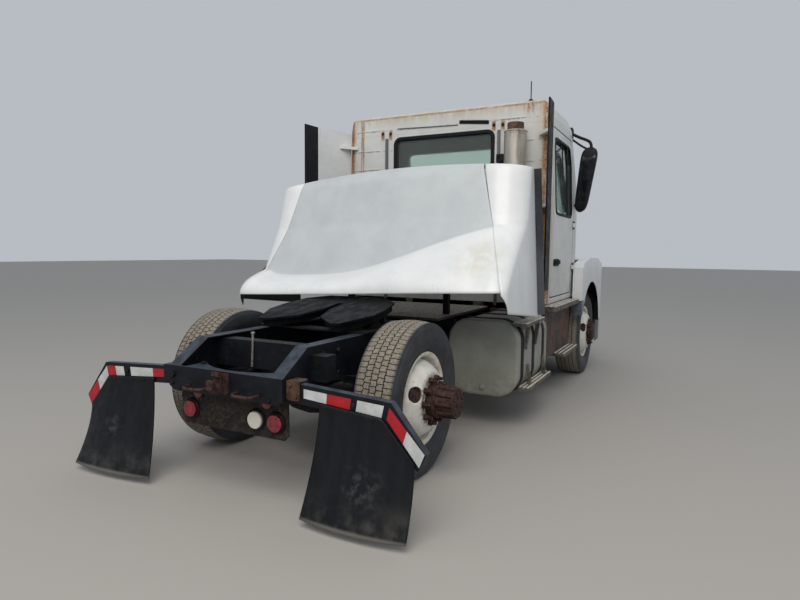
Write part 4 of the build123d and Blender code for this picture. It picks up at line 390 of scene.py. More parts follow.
# Grey-green paint on a pressed aluminium tank: even, slightly warm, dirt spots near the bottom
TANK_GREY = surface(
    "grey tank paint", ((260, 0.3, 0.7), "8A8C84", "9C9E95"), ("3C3A34", (26, 0.68, 0.73), 0.6),
    ("57524A", (fade, 0.30, 0.52), (50, 0.4, 0.7), 0.45),
    rough=(40, 0.38, 0.55), grain=(320, 1.2), metallic=0.1)
# Extruded mill-finish aluminium: dull silver with grey oxide and brown dirt
MILL_ALUMINIUM = surface(
    "mill finish aluminium", ((40, 0.35, 0.65), "9C9990", "BDBBB2"), ("6A6052", (55, 0.48, 0.7), 0.55),
    rough=(10, 0.38, 0.6), grain=(3, 0.08), metallic=0.6)
# Tops of rolled or extruded tread that boots keep bright, with tan dust
WORN_TREAD = surface(
    "boot-worn tread", ((30, 0.35, 0.65), "BDB7A9", "E4E0D5"),
    rough=(10, 0.35, 0.6), grain=(3, 0.08), metallic=0.2)
# Valleys of the extruded steps: dull aluminium nearly hidden by brown dirt
STEP_BASE = surface(
    "dirty extruded aluminium", ((40, 0.35, 0.65), "4A443B", "7C756A"),
    rough=(14, 0.5, 0.75), grain=(5, 0.2), metallic=0.4)
# Rolled tread plate lying in dirt: dark oxide with brown dust
DECK_STEEL = surface(
    "rolled tread plate", ((50, 0.35, 0.65), "3A362F", "544E44"), ("38332C", (26, 0.5, 0.66), 0.6),
    rough=(20, 0.5, 0.8), grain=(6, 0.3), metallic=0.3)
# Rolled aluminised steel muffler shell: grey-beige, upright heat stains, browner towards its top edge
STAIN = (60, 0.35, 0.65, (1, 1, 0.15))
ALUMINISED_STEEL = surface(
    "aluminised steel", (STAIN, "A5A198", "C6C2B8"), ("7C6450", (fade, 2.60, 2.50), (30, 0.4, 0.6), 0.6),
    rough=(STAIN, 0.35, 0.5), grain=(8, 0.1), metallic=0.5)
# Injection-moulded black plastic with a leather-like grain of about 1.5 mm, drawn at 4 mm to show
GRAINED_PLASTIC = surface(
    "grained black plastic", ((150, 0.3, 0.7), "0E0F12", "1A1C20"),
    rough=(40, 0.5, 0.7), grain=((cells, 4, "F1"), 0.3), specular_ior_level=0.25)
# Mass-coloured grey bumper plastic, sun-bleached in patches
MOULDED_GREY = surface(
    "moulded grey plastic", ((300, 0.3, 0.7), "55575A", "6B6D70"), rough=(30, 0.5, 0.66), grain=(2.5, 0.15))
# Woven seat cloth: warp and weft, drawn 4 mm apart to show, dark in the gaps with a soft sheen
THREADS = (crossed_threads, 3.927)
SEAT_WEAVE = surface(
    "woven seat cloth", (THREADS, "2B2D33", "474A52"), grain=(THREADS, 0.6), roughness=0.9, sheen_weight=0.3)
# Tinted safety glass: green cast, a film of dust that is thicker in patches
FILM = (160, 0.45, 0.8)
WINDOW_GLASS = surface(
    "tinted safety glass", (FILM, "E8F8EE", "E6F3EA"),
    rough=(FILM, 0.03, 0.14), transmission_weight=0.96, ior=1.5)
# Silvered glass, dark because it shows the ground behind, with a film of dust
MIRROR_FILM = (120, 0.4, 0.8)
MIRROR_GLASS = surface(
    "silvered mirror glass", (MIRROR_FILM, "22252A", "34383D"),
    rough=(MIRROR_FILM, 0.08, 0.25), metallic=0.6)
# Moulded red lamp lens with fine prisms, 5 mm apart, and road film
RED_PRISMS = (ridges, 5.067, "Z")
RED_LENS = surface(
    "moulded red lens", ((30, 0.4, 0.7), "7E0A1C", "A41228"), ("2E1614", (26, 0.46, 0.62), 0.7),
    rough=(RED_PRISMS, 0.2, 0.4), grain=(RED_PRISMS, 0.8), coat_weight=0.5)
# Moulded clear lamp lens over a silvered bowl, with fine prisms 6 mm apart
CLEAR_PRISMS = (ridges, 6.042, "Z")
CLEAR_LENS = surface(
    "moulded clear lens", (CLEAR_PRISMS, "C6C3B4", "E7E5DA"), grain=(CLEAR_PRISMS, 0.8),
    coat_weight=0.5, roughness=0.2)
# Retroreflective tape, white and red: small sealed cells 4 mm apart under a dusty film
TAPE_WHITE, TAPE_RED = (
    surface(name, ((60, 0.35, 0.7), one, other),
            rough=(20, 0.3, 0.5), grain=((cells, 4, "DISTANCE_TO_EDGE"), 0.2))
    for name, one, other in (("white reflective tape", "BFC3C2", "D6D9D8"),
                             ("red reflective tape", "A5101E", "BC1A28")))
# Zinc-plated fastener steel: dull silver going white and brown
ZINC_PLATE = surface(
    "zinc plated steel", ((14, 0.4, 0.62), "8E8C86", "B3B1AA"), ("6B452C", (9, 0.58, 0.68), 0.8),
    rough=(6, 0.35, 0.6), metallic=0.7)


def grid_quads(rows, columns, close_rows=False, close_columns=False):
    """Corner numbers of a grid of points, joined to its start along either way if closed."""
    r = np.arange(rows if close_rows else rows - 1)
    c = np.arange(columns if close_columns else columns - 1)
    r, c = np.meshgrid(r, c, indexing="ij")
    r2, c2 = (r + 1) % rows, (c + 1) % columns
    return np.stack([r * columns + c, r * columns + c2, r2 * columns + c2, r2 * columns + c], -1).reshape(-1, 4)


def closed_form(points, quads, caps=()):
    """Closed shape as points and faces, turned outwards: the sum of the quads' signed cone volumes is positive."""
    points = np.asarray(points, float).reshape(-1, 3)
    quads = np.asarray(quads, int)
    a, b, c, d = (points[quads[:, i]] - points.mean(0) for i in range(4))
    volume = (np.cross(a, b) * c).sum() + (np.cross(a, c) * d).sum()
    faces = quads.tolist() + [list(cap) for cap in caps]
    return points, faces if volume > 0 else [face[::-1] for face in faces]


def end_faces(rows, columns):
    """Flat faces that close the first and the last ring of a grid, turned the way of its quads."""
    return list(range(columns))[::-1], list(range((rows - 1) * columns, rows * columns))


def open_form(points, quads, inside):
    """Open sheet as points and faces, turned so that its faces look away from a point inside."""
    a, b, c = (points[quads[:, i]] for i in range(3))
    if (np.cross(b - a, c - b) * (a - inside)).sum() < 0:
        quads = quads[:, ::-1]
    return points, quads.tolist()


def walled(piece, thickness, outwards=False):
    """Gives an open sheet its wall, inwards from the face unless it is to grow outwards."""
    wall = piece.modifiers.new("wall", "SOLIDIFY")
    wall.thickness = thickness
    wall.offset = 1.0 if outwards else -1.0
    wall.use_even_offset = True


def rounded(width, height, radius, count=6):
    """Outline of a rectangle whose corners are quarter circles: corner centre + radius * (cos t, sin t)."""
    t = np.linspace(0, np.pi / 2, count)
    corners = []
    for turn, (sx, sy) in enumerate(((1, 1), (-1, 1), (-1, -1), (1, -1))):
        centre = np.array([sx * (width / 2 - radius), sy * (height / 2 - radius)])
        angle = t + turn * np.pi / 2
        corners.append(centre + radius * np.stack([np.cos(angle), np.sin(angle)], -1))
    return np.concatenate(corners)


def circle(radius, count=10):
    """Outline of a circle: radius * (cos t, sin t)."""
    t = np.arange(count) / count * 2 * np.pi
    return radius * np.stack([np.cos(t), np.sin(t)], -1)


def sweep(path, profile, up=(0, 0, 1), closed=False):
    """Outline (p, q) carried along a path: place + p * side + q * over.

    side is the path's tangent x up and over is side x tangent. An open path gets flat ends.
    """
    path, profile = np.asarray(path, float), np.asarray(profile, float)
    if closed:
        tangent = np.roll(path, -1, 0) - np.roll(path, 1, 0)
    else:
        tangent = np.gradient(path, axis=0)
    tangent /= np.linalg.norm(tangent, axis=1, keepdims=True)
    side = np.cross(tangent, up)
    side /= np.linalg.norm(side, axis=1, keepdims=True)
    over = np.cross(side, tangent)
    points = path[:, None] + profile[None, :, :1] * side[:, None] + profile[None, :, 1:] * over[:, None]
    rows, columns = points.shape[:2]
    return closed_form(points, grid_quads(rows, columns, close_rows=closed, close_columns=True),
                       () if closed else end_faces(rows, columns))


def lathe(profile, origin, axis, count=32, ring=False):
    """Outline (a along the axis, radius r) turned about it: origin + a * axis + r * (cos t * u + sin t * w).

    A ring is a closed outline; otherwise the first and last circles are closed with flat faces.
    """
    profile, axis = np.asarray(profile, float), np.asarray(axis, float) / np.linalg.norm(axis)
    u = np.cross(axis, (0, 0, 1) if abs(axis[2]) < 0.9 else (1, 0, 0))
    u /= np.linalg.norm(u)
    w = np.cross(axis, u)
    t = np.arange(count) / count * 2 * np.pi
    around = np.cos(t)[:, None] * u + np.sin(t)[:, None] * w
    points = np.asarray(origin, float) + profile[:, None, :1] * axis + profile[:, None, 1:] * around[None]
    return closed_form(points, grid_quads(len(profile), count, close_rows=ring, close_columns=True),
                       () if ring else end_faces(len(profile), count))


def prism(outline, origin, u, v, depth):
    """Flat outline (p, q), at origin + p * u + q * v, pushed along u x v by depth and closed at both ends."""
    outline, u, v = np.asarray(outline, float), np.asarray(u, float), np.asarray(v, float)
    flat = np.asarray(origin, float) + outline[:, :1] * u + outline[:, 1:] * v
    points = np.stack([flat, flat + np.cross(u, v) * depth])
    return closed_form(points, grid_quads(2, len(outline), close_columns=True), end_faces(2, len(outline)))


def plate(outline, y, depth):
    """Plate of an outline (x, z) on the upright plane at y, pushed rearwards by depth."""
    return prism(outline, (0, y, 0), (1, 0, 0), UPWARD, depth)


def turned(form, origin, axis, degrees):
    """A form turned about an axis by the rotation formula: p cos t + (k x p) sin t + k (k . p)(1 - cos t)."""
    points, faces = form
    k = np.asarray(axis, float) / np.linalg.norm(axis)
    p, t = points - np.asarray(origin, float), math.radians(degrees)
    spun = p * math.cos(t) + np.cross(k, p) * math.sin(t) + np.outer(p @ k, k) * (1 - math.cos(t))
    return spun + np.asarray(origin, float), faces


def other_side(form):
    """The same form on the other side of the truck: x changes sign and each face is read backwards."""
    points, faces = form
    return points * (-1, 1, 1), [face[::-1] for face in faces]


def both_sides(*forms):
    """Each form with its partner on the other side."""
    return [one for form in forms for one in (form, other_side(form))]


def hex_head(place, axis, across, height):
    """Bolt head or nut: six flats, a chamfered top and a foot a little smaller."""
    r = across / math.sqrt(3)
    return lathe([(0, r * 0.96), (0, r), (height * 0.8, r), (height, r * 0.82)], place, axis, 6)


def solid(name, forms, material, body="chassis", smooth_deg=32):
    """One piece from several forms, moved from the truck's datum to the shared frame and riding on a body."""
    starts = np.cumsum([0] + [len(points) for points, _ in forms])
    faces = [[corner + start for corner in face]
             for (_, form), start in zip(forms, starts.tolist()) for face in form]
    mesh = bpy.data.meshes.new(name)
    mesh.from_pydata(np.concatenate([points for points, _ in forms]) + (0, DATUM_Y, 0), [], faces)
    mesh.polygons.foreach_set("use_smooth", np.full(len(mesh.polygons), True))
    mesh.materials.append(material)
    mesh.update()
    mesh.set_sharp_from_angle(angle=math.radians(smooth_deg))
    made = bpy.data.objects.new(name, mesh)
    bpy.context.scene.collection.objects.link(made)
    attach(made, body)
    return made


def give(piece, name, values):
    """Writes one number per point into a named attribute of the piece's mesh."""
    layer = piece.data.attributes.new(name, "FLOAT", "POINT")
    layer.data.foreach_set("value", np.asarray(values, float).ravel())


def skin(node, material, bevel_mm=0.0, crease_deg=32):
    """Merged copy of a CAD node that stands for it: flat faces joined, sharp edges kept or rounded."""
    source = nodes[node]
    mesh = source.data.copy()
    work = bmesh.new()
    work.from_mesh(mesh)
    bmesh.ops.remove_doubles(work, verts=work.verts, dist=1e-5)
    bmesh.ops.dissolve_limit(work, angle_limit=math.radians(0.6), verts=work.verts, edges=work.edges)
    work.to_mesh(mesh)
    work.free()
    mesh.materials.clear()
    mesh.materials.append(material)
    mesh.polygons.foreach_set("use_smooth", np.full(len(mesh.polygons), True))
    mesh.set_sharp_from_angle(angle=math.radians(crease_deg))
    made = bpy.data.objects.new(node + "_skin", mesh)
    bpy.context.scene.collection.objects.link(made)
    if bevel_mm:
        rounding = made.modifiers.new("rounded edges", "BEVEL")
        rounding.width = bevel_mm / 1000
        rounding.segments = 2
        rounding.limit_method = "ANGLE"
        rounding.angle_limit = math.radians(40)
        rounding.harden_normals = True
    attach(made, body_of(source)[0])
    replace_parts(made, node)
    return made


# Finish of each CAD piece. Columns: material, edge rounding in mm, node names
FINISHES = (
    (AGED_ENAMEL, 4, "cab_body cab_roof door_left door_right"),
    (HOOD_GELCOAT, 3, "hood"),
    (GELCOAT, 3, "side_extenders"),
    (END_GREY, 2, "frame_rails rear_crossmember flap_hangers"),
    (CHASSIS_BLACK, 2, "crossmembers coupling_mount fairing_frame rear_axle front_axle"),
    (CHASSIS_BLACK, 0, "drive_shaft knuckle_left knuckle_right tie_rod radiator engine leaf_springs"),
    (DIRTY_PANEL, 1, "lamp_panel"),
    (CHASSIS_BLACK, 1, "tank_straps"),
    (STEP_BASE, 1.5, "steps"),
    (DECK_STEEL, 1.5, "deck_plate"),
    (RUSTED_IRON, 1, "tow_hook hub_rear_left hub_rear_right"),
    (GREASED_STEEL, 2, "fifth_wheel_plate"),
    (SHEET_RUBBER, 1.5, "extender_edges"),
    (TANK_GREY, 4, "fuel_tanks"),
    (ALUMINISED_STEEL, 1, "exhaust_stack"),
    (RUSTED_BOX, 3, "step_boxes"),
    (GRAINED_PLASTIC, 3, "antenna arch_liners grille steering_wheel"),
    (MOULDED_GREY, 4, "bumper dashboard"),
    (WINDOW_GLASS, 0, "windshield rear_window door_glass_left door_glass_right"),
    (RED_LENS, 2, "tail_lamps"),
    (CLEAR_LENS, 2, "headlamps"),
)
for material, rounding, names in FINISHES:
    for name in names.split():
        skin(name, material, rounding)

# Tread rows from one shoulder to the other: edges of the rows, with a groove between each two rows, in metres
ROW_EDGES = (0.106, 0.070, 0.062, 0.026, 0.018, -0.018, -0.026, -0.062, -0.070, -0.106)

# Width of the slope from a row's edge to the groove's floor
GROOVE_SLOPE = 0.0012
CROWN_RADIUS = 0.5045
# Tyre wall from the bead to the shoulder. Columns: distance from the tyre's middle, radius
WALL = np.array((
    (0.096, 0.2885), (0.104, 0.300), (0.110, 0.314), (0.112, 0.320), (0.118, 0.330), (0.128, 0.350),
    (0.137, 0.378), (0.1415, 0.402), (0.1420, 0.425), (0.1408, 0.448), (0.137, 0.470), (0.1335, 0.473),
    (0.131, 0.486), (0.127, 0.493),
))


def tyre(name, axle, side, body, blocks, pitches, depth):
    """Tyre as a grid of angle by section, with the radius lowered by depth in the grooves.

    The section runs bead, wall, shoulder, crown and back. At a distance a from the middle the crown's radius is
    0.5045 - 0.9 a squared, less depth between rows, and less 0.85 of depth inside a cross groove, which covers an
    eighth of each pitch and steps by half a pitch from row to row. The blocks sway by 2 mm to either side.
    """
    steps = np.array((0.0, 0.02, 0.13, 0.15, 0.32, 0.5, 0.52, 0.63, 0.65, 0.82) if blocks else (0.0, 0.5))
    angle = ((np.arange(pitches)[:, None] + steps) / pitches * 2 * np.pi).ravel()
    place = np.tile(np.arange(len(steps)), pitches)
    even_cut, odd_cut = (np.isin(place, cut)[:, None] & blocks for cut in ((6, 7), (1, 2)))
    sway = np.tile(np.where(steps < 0.5, 0.0022, -0.0022), pitches) * blocks

    edges = np.array(ROW_EDGES)
    rows = edges.reshape(-1, 2)
    grooves = np.stack([edges[1:-1:2] - GROOVE_SLOPE, edges[2::2] + GROOVE_SLOPE], -1)
    crown = np.concatenate([np.stack([rows[:-1], grooves], 1).reshape(-1), rows[-1]])
    row_of = np.full(len(crown), -1)
    row_of[0::4] = row_of[1::4] = np.arange(5)
    crown_radius = CROWN_RADIUS - 0.9 * crown ** 2 - np.where(row_of < 0, depth, 0.0)
    a = np.concatenate([WALL[:, 0], crown, -WALL[::-1, 0]])
    r = np.concatenate([WALL[:, 1], crown_radius, WALL[::-1, 1]])
    row = np.concatenate([np.full(len(WALL), -1), row_of, np.full(len(WALL), -1)])

    across = a + (np.abs(a) < 0.1) * sway[:, None]
    hit = np.where(row % 2 == 1, odd_cut, even_cut) & (row >= 0)
    radius = np.where(hit, r - depth * 0.85, r)
    wear = np.where(hit, 0.0, row >= 0)

    y, x = axle
    points = np.stack([side * (x + across), y + radius * np.cos(angle)[:, None],
                       AXLE_Z + radius * np.sin(angle)[:, None]], -1)
    form = closed_form(points, grid_quads(len(angle), len(a), True, True))
    made = solid(name, [form], TYRE_RUBBER, body, smooth_deg=35)
    give(made, "wear", wear)
    return made


for side_name, side in SIDES:
    drive = tyre("drive_tyre_" + side_name, REAR_AXLE, side, "rear_wheel_" + side_name, True, 84, 0.012)
    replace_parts(drive, "tyre_rear_" + side_name)
    steer = tyre("steer_tyre_" + side_name, FRONT_AXLE, side, "front_wheel_" + side_name, False, 96, 0.010)
    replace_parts(steer, "tyre_front_" + side_name)


# Wheel sections in metres from the wheel's middle plane. Columns: outboard distance, radius
RIM_SECTION = np.array((
    (-0.116, 0.306), (-0.106, 0.306), (-0.104, 0.287), (-0.062, 0.285), (-0.046, 0.264), (0.024, 0.264),
    (0.058, 0.285), (0.104, 0.287), (0.107, 0.300), (0.112, 0.3065), (0.117, 0.305), (0.118, 0.298),
    (0.113, 0.288), (0.106, 0.279), (0.060, 0.276), (0.026, 0.255), (-0.048, 0.255), (-0.064, 0.276), (-0.106, 0.278),
    (-0.116, 0.288),
))
DISC_SECTION = np.array(((0.030, 0.2635), (0.060, 0.258), (0.092, 0.246), (0.142, 0.214), (0.166, 0.182),
                         (0.168, 0.166), (0.168, 0.140), (0.168, 0.110)))
# Two hand holes: radius, distance from the axle, angles in degrees, and half the angle that one covers
HAND_HOLE = 0.052
HOLE_CIRCLE = 0.206
HOLE_TURNS = (160, 340)
HOLE_HALF_TURN = math.radians(15)
# Front hub with its drum. Columns: outboard distance, radius
FRONT_HUB = ((-0.064, 0.215), (0.106, 0.215), (0.144, 0.166), (0.156, 0.166), (0.157, 0.1095), (0.216, 0.1090),
             (0.222, 0.094), (0.229, 0.084), (0.232, 0.066))


def disc_sheet(side, axle):
    """Wheel disc as a grid of angle by length along its section, with two round hand holes opposite each other.

    Near a hole a point's offset (p, q) from its middle, in hole radii, keeps m = max(|p|, |q|) but is pulled
    towards (p, q) * m / hypot(p, q), fully at m = 1 and not at all at m = 1.8, so the grid's square becomes a
    circle. The disc's bends are rounded by averaging its section over 10 mm to each side.
    """
    y, x = axle
    run = np.concatenate([[0], np.cumsum(np.linalg.norm(np.diff(DISC_SECTION, axis=0), axis=1))])
    middle = np.interp(HOLE_CIRCLE, DISC_SECTION[::-1, 1], run[::-1])
    start, stop = middle - HAND_HOLE, middle + HAND_HOLE
    s = np.concatenate([np.linspace(0, start, 9)[:-1], np.linspace(start, stop, 17),
                        np.linspace(stop, run[-1], 9)[1:]])
    t = np.arange(240) / 240 * 2 * np.pi
    t, s = np.meshgrid(t, s, indexing="ij")
    quads = grid_quads(240, s.shape[1], close_rows=True)
    keep = np.ones(len(quads), bool)
    for degrees in HOLE_TURNS:
        away = (t - math.radians(degrees) + np.pi) % (2 * np.pi) - np.pi
        p, q = away / HOLE_HALF_TURN, (s - middle) / HAND_HOLE
        m = np.maximum(np.abs(p), np.abs(q))
        keep &= m.ravel()[quads].max(1) > 1.001
        pull = np.clip((1.8 - m) / 0.8, 0, 1) * (m > 0)
        stretch = 1 + pull * (m / np.maximum(np.hypot(p, q), 1e-9) - 1)
        t, s = t + away * (stretch - 1), s + (s - middle) * (stretch - 1)
    around = np.linspace(-0.010, 0.010, 7)
    reach, radius = (np.interp(s[..., None] + around, run, DISC_SECTION[:, i]).mean(-1) for i in range(2))
    points = np.stack([side * (x + reach), y + radius * np.cos(t), AXLE_Z + radius * np.sin(t)], -1).reshape(-1, 3)
    used, quads = np.unique(quads[keep], return_inverse=True)
    return open_form(points[used], quads.reshape(-1, 4), (side * (x - 1.0), y, AXLE_Z))


for side_name, side in SIDES:
    for end, axle in (("rear", REAR_AXLE), ("front", FRONT_AXLE)):
        body, node = end + "_wheel_" + side_name, "wheel_" + end + "_" + side_name
        middle = (side * axle[1], axle[0], AXLE_Z)
        rim = solid("rim_" + end + "_" + side_name, [lathe(RIM_SECTION, middle, (side, 0, 0), 120, ring=True)],
                    RIM_ENAMEL, body, smooth_deg=40)
        disc = solid("disc_" + end + "_" + side_name, [disc_sheet(side, axle)], RIM_ENAMEL, body, smooth_deg=50)
        walled(disc, 0.012)
        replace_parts(rim, node)
        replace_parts(disc, node)
    hub = solid("front_hub_" + side_name,
                [lathe(FRONT_HUB, (side * FRONT_AXLE[1], FRONT_AXLE[0], AXLE_Z), (side, 0, 0), 60)],
                RUSTED_IRON, "front_wheel_" + side_name)
    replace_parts(hub, "wheel_front_" + side_name)

# Fairing shell behind the cab, in places measured before it leans on its posts.
# Its two upright corners. Columns: height, corner radius
CORNER = np.array((
    (1.130, 0.120), (1.205, 0.140), (1.280, 0.155), (1.350, 0.170), (1.420, 0.185), (1.530, 0.200),
    (1.700, 0.225), (2.070, 0.240), (2.200, 0.240),
))
# The upper panel's own line, which runs on down to the crease. Columns: height, place of the wall
PANEL_LINE = np.array(((1.10, -1.290), (1.53, -1.090), (1.70, -1.010), (2.07, -0.888), (2.20, -0.800)))
# The crease rises from the left to the right. Columns: place across, height
CREASE = np.array((
    (-1.131, 1.371), (-1.032, 1.300), (-0.815, 1.279), (-0.468, 1.276), (-0.207, 1.288), (0.002, 1.328),
    (0.260, 1.398), (0.579, 1.500), (0.809, 1.566), (1.003, 1.610),
))
LIP_Z = 1.120
LIP_Y = -1.500
FAIRING_HALF = 1.220
LEAN = math.radians(-2.6)
# A place inside the shell, which its faces look away from
FAIRING_MIDDLE = (0.0, -0.3, 1.6)
TOP_EDGE_RADIUS = 0.009
PANEL_SUNK = 0.006
# Where the lower edge has come down round the corner
CORNER_END = -1.400


def fairing_radius(z):
    """Corner radius at a height, between the slices."""
    return np.interp(z, CORNER[:, 0], CORNER[:, 1])


def crease_height(x):
    """Height of the crease: the measured line, smoothed by averaging it over 80 mm to each side."""
    around = np.linspace(-0.08, 0.08, 9)
    return np.interp(np.asarray(x)[..., None] + around, CREASE[:, 0], CREASE[:, 1]).mean(-1)


def crease_on(x, z):
    """Height of the crease for a point of the wall; round a corner it stays as at the corner's start."""
    turn_x = FAIRING_HALF - fairing_radius(z)
    return crease_height(np.clip(x, -turn_x, turn_x))


def fairing_wall(x, z):
    """Back wall: the panel's line above the crease; below it, from the crease to the lip, f of the way outwards.

    f = 1 - (1 - t) to a power, 2.4 at the left end and 1.2 at the right, where t runs from 0 on the crease to 1
    at the lip. The panel is sunk over the 8 mm above the crease, and the wall bows 30 mm out in the middle.
    """
    turn_x = FAIRING_HALF - fairing_radius(z)
    held = np.clip(x, -turn_x, turn_x)
    crease = crease_on(x, z)
    t = np.clip((crease - z) / (crease - LIP_Z), 0, 1)
    flare = 1 - (1 - t) ** np.interp(held, (-1.0, 0.3, 1.0), (2.4, 2.2, 1.2))
    top = np.interp(np.maximum(z, crease), PANEL_LINE[:, 0], PANEL_LINE[:, 1])
    sunk = PANEL_SUNK * np.clip((z - crease) / 0.008, 0, 1)
    return top + (LIP_Y - top) * flare + sunk - 0.03 * (1 - (held / turn_x) ** 2)


def around_corner(x, z):
    """Back wall carried round its corner, a quarter ellipse: wall + depth * (1 - sqrt(1 - p squared)).

    p is the way past the corner's start over its radius. The depth is the radius, or less high up, where the
    front edge is nearer to the wall than that.
    """
    radius = fairing_radius(z)
    past = np.clip((np.abs(x) - (FAIRING_HALF - radius)) / radius, 0, 1)
    wall = fairing_wall(x, z)
    depth = np.minimum(radius, fairing_front(z) - wall)
    return wall + depth * (1 - np.sqrt(1 - past ** 2))


def fairing_top(x):
    """Crowned top edge: 85 mm lower at 1.26 m from the middle, as a parabola."""
    return 2.165 - 0.085 * (x / 1.26) ** 2


def fairing_front(z):
    """Front edge of the sides: a straight line that leans back a little as it rises."""
    return np.interp(z, (0.8, 2.3), (-0.56, -0.61))


def seam_place(z):
    """Distance of the seam from the middle: close to straight, a little steeper above the crease."""
    return np.interp(z, (1.13, 1.30, 1.60, 1.70, 2.12, 2.30), (1.190, 1.135, 1.012, 0.981, 0.880, 0.838))


def leaned(points):
    """The points turned by the lean about the line along the truck at the height of the lip."""
    x, z = points[..., 0], points[..., 2] - LIP_Z
    return np.stack([x * math.cos(LEAN) + z * math.sin(LEAN), points[..., 1],
                     LIP_Z - x * math.sin(LEAN) + z * math.cos(LEAN)], -1)


def shell_grid(name, points, panel, crease, node):
    """Open sheet of a grid of points, turned away from the fairing's inside and given a 10 mm wall inwards."""
    flat = leaned(points).reshape(-1, 3)
    form = open_form(flat, grid_quads(*points.shape[:2]), FAIRING_MIDDLE)
    made = solid(name, [form], FAIRING_GELCOAT, smooth_deg=38)
    give(made, "panel", panel)
    give(made, "crease", crease)
    walled(made, 0.010)
    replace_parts(made, node)


def marks(x, z):
    """How much of each point is upper panel, and how near it is to the crease's line."""
    above = z - crease_on(x, z)
    return np.clip(above / 0.006, 0, 1), np.clip(1 - np.abs(above - 0.001) / 0.006, 0, 1)


def fairing_middle():
    """Middle moulding: columns fan out to the two seams, rows follow the lip, the crease and the crowned top.

    A row's height depends on its place across and the other way round, so both are worked out in eight rounds.
    The last three rows roll the wall over a 9 mm edge into a level strip that reaches the front line.
    """
    u = np.linspace(-1, 1, 141)[None, :]
    skirt = np.linspace(0, 1, 27)[:, None]
    panel = np.linspace(0, 1, 41)[:, None]
    n = len(skirt)
    z = np.full((n + 1 + len(panel), u.shape[1]), 1.4)
    x = u * seam_place(z)
    for _ in range(8):
        line = crease_on(x, z)
        top = fairing_top(x) - TOP_EDGE_RADIUS
        foot = line[n + 1:] + 0.008
        z = np.concatenate([LIP_Z + (line[:n] - 0.003 - LIP_Z) * skirt, line[n:n + 1],
                            foot + (top[n + 1:] - foot) * panel])
        x = u * seam_place(z)
    y = around_corner(x, z)
    front = np.maximum(fairing_front(z[-1]), y[-1] + 0.012)
    x = np.concatenate([x, x[-1:], x[-1:], x[-1:]])
    y = np.concatenate([y, [y[-1] + 0.003, y[-1] + TOP_EDGE_RADIUS, front]])
    z = np.concatenate([z, z[-1] + np.array((0.006, TOP_EDGE_RADIUS, TOP_EDGE_RADIUS))[:, None]])
    points = np.stack([x, y, z], -1)
    shell_grid("fairing_middle", points, *marks(x, z), "fairing_center")


def side_place(s, z, side):
    """Place s of the way round the side at a height: first the rest of the corner's arc, then straight forward."""
    radius = fairing_radius(z)
    turn_x = FAIRING_HALF - radius
    wall = fairing_wall(side * turn_x, z)
    start = np.arcsin(np.clip((seam_place(z) + 0.0006 - turn_x) / radius, -1, 1))
    reach = fairing_front(z) - wall
    depth = np.minimum(radius, reach)
    arc = radius * (np.pi / 2 - start)
    gone = s * (arc + reach - depth)
    turn = start + np.minimum(gone / radius, np.pi / 2 - start)
    straight = np.maximum(gone - arc, 0)
    return side * (turn_x + radius * np.sin(turn)), wall + depth * (1 - np.cos(turn)) + straight


def side_foot(x, y):
    """Lower edge of the side: level at the lip, down over the corner, then a line that falls forward."""
    over_corner = np.interp(y, (-1.475, CORNER_END), (LIP_Z, 1.020))
    on_truck = np.interp(y, (CORNER_END, -0.300), (1.020, 0.894))
    before_lean = LIP_Z + (on_truck - LIP_Z + math.sin(LEAN) * x) / math.cos(LEAN)
    return np.where(y < CORNER_END, over_corner, before_lean)


def fairing_side(name, side):
    """One side moulding: columns run from the seam to the front edge, rows from its lower edge to its top.

    Place and height depend on each other, so the lower edge is worked out in twelve rounds and the rest in eight.
    A rubber seal runs up the front edge.
    """
    s = np.linspace(0, 1, 70)[None, :]
    t = np.linspace(0, 1, 60)[:, None]
    foot = np.full((1, 70), 1.1)
    for _ in range(12):
        foot = side_foot(*side_place(s, foot, side))
    z = foot + (2.09 - foot) * t
    for _ in range(8):
        x, y = side_place(s, z, side)
        z = foot + (fairing_top(x) - 0.006 - foot) * t
    points = np.stack([*side_place(s, z, side), z], -1)
    points = np.concatenate([points, [points[-1] + (0, 0.004, 0.006)]])
    plain = np.zeros(points.shape[:2])
    shell_grid("fairing_side_" + name, points, plain, plain, "fairing_sides")
    edge = leaned(points[1:-1:2, -1]) + (side * 0.022, 0.004, 0)
    solid("fairing_trim_" + name, [sweep(edge, rounded(0.070, 0.022, 0.008), up=(0, 1, 0))], SEAL_RUBBER)


fairing_middle()
for side_name, side in SIDES:
    fairing_side(side_name, side)


def hub_barrel(side):
    """Drive hub's barrel: a turned outline with ten ribs along it and ten scallops on its end flange.

    radius = outline + depth * clip((cos(10 t) - 0.45) / 0.35), with depth the ribs' height, 0 at both ends.
    """
    # Columns: reach from the wheel's middle plane, radius, ribs' height
    reach, radius, depth = np.array((
        (0.222, 0.0900, 0.0000), (0.230, 0.0925, 0.0090), (0.236, 0.0925, 0.0125), (0.300, 0.0892, 0.0125),
        (0.322, 0.0885, 0.0115), (0.328, 0.0885, 0.0060), (0.330, 0.0940, 0.0060), (0.345, 0.0940, 0.0060),
        (0.3475, 0.0915, 0.0060), (0.3480, 0.0600, 0.0000), (0.3480, 0.0300, 0.0000))).T
    t = np.linspace(0, 2 * np.pi, 161)[:-1][:, None]
    r = radius + depth * np.clip((np.cos(10 * t) - 0.45) / 0.35, 0, 1)
    y, x = REAR_AXLE
    points = np.stack([side * (x + reach + 0 * t), y + r * np.cos(t), AXLE_Z + r * np.sin(t)], -1)
    first = np.arange(len(t)) * len(reach)
    caps = (first.tolist(), (first + len(reach) - 1).tolist()[::-1])
    return closed_form(points, grid_quads(len(t), len(reach), close_rows=True), caps)


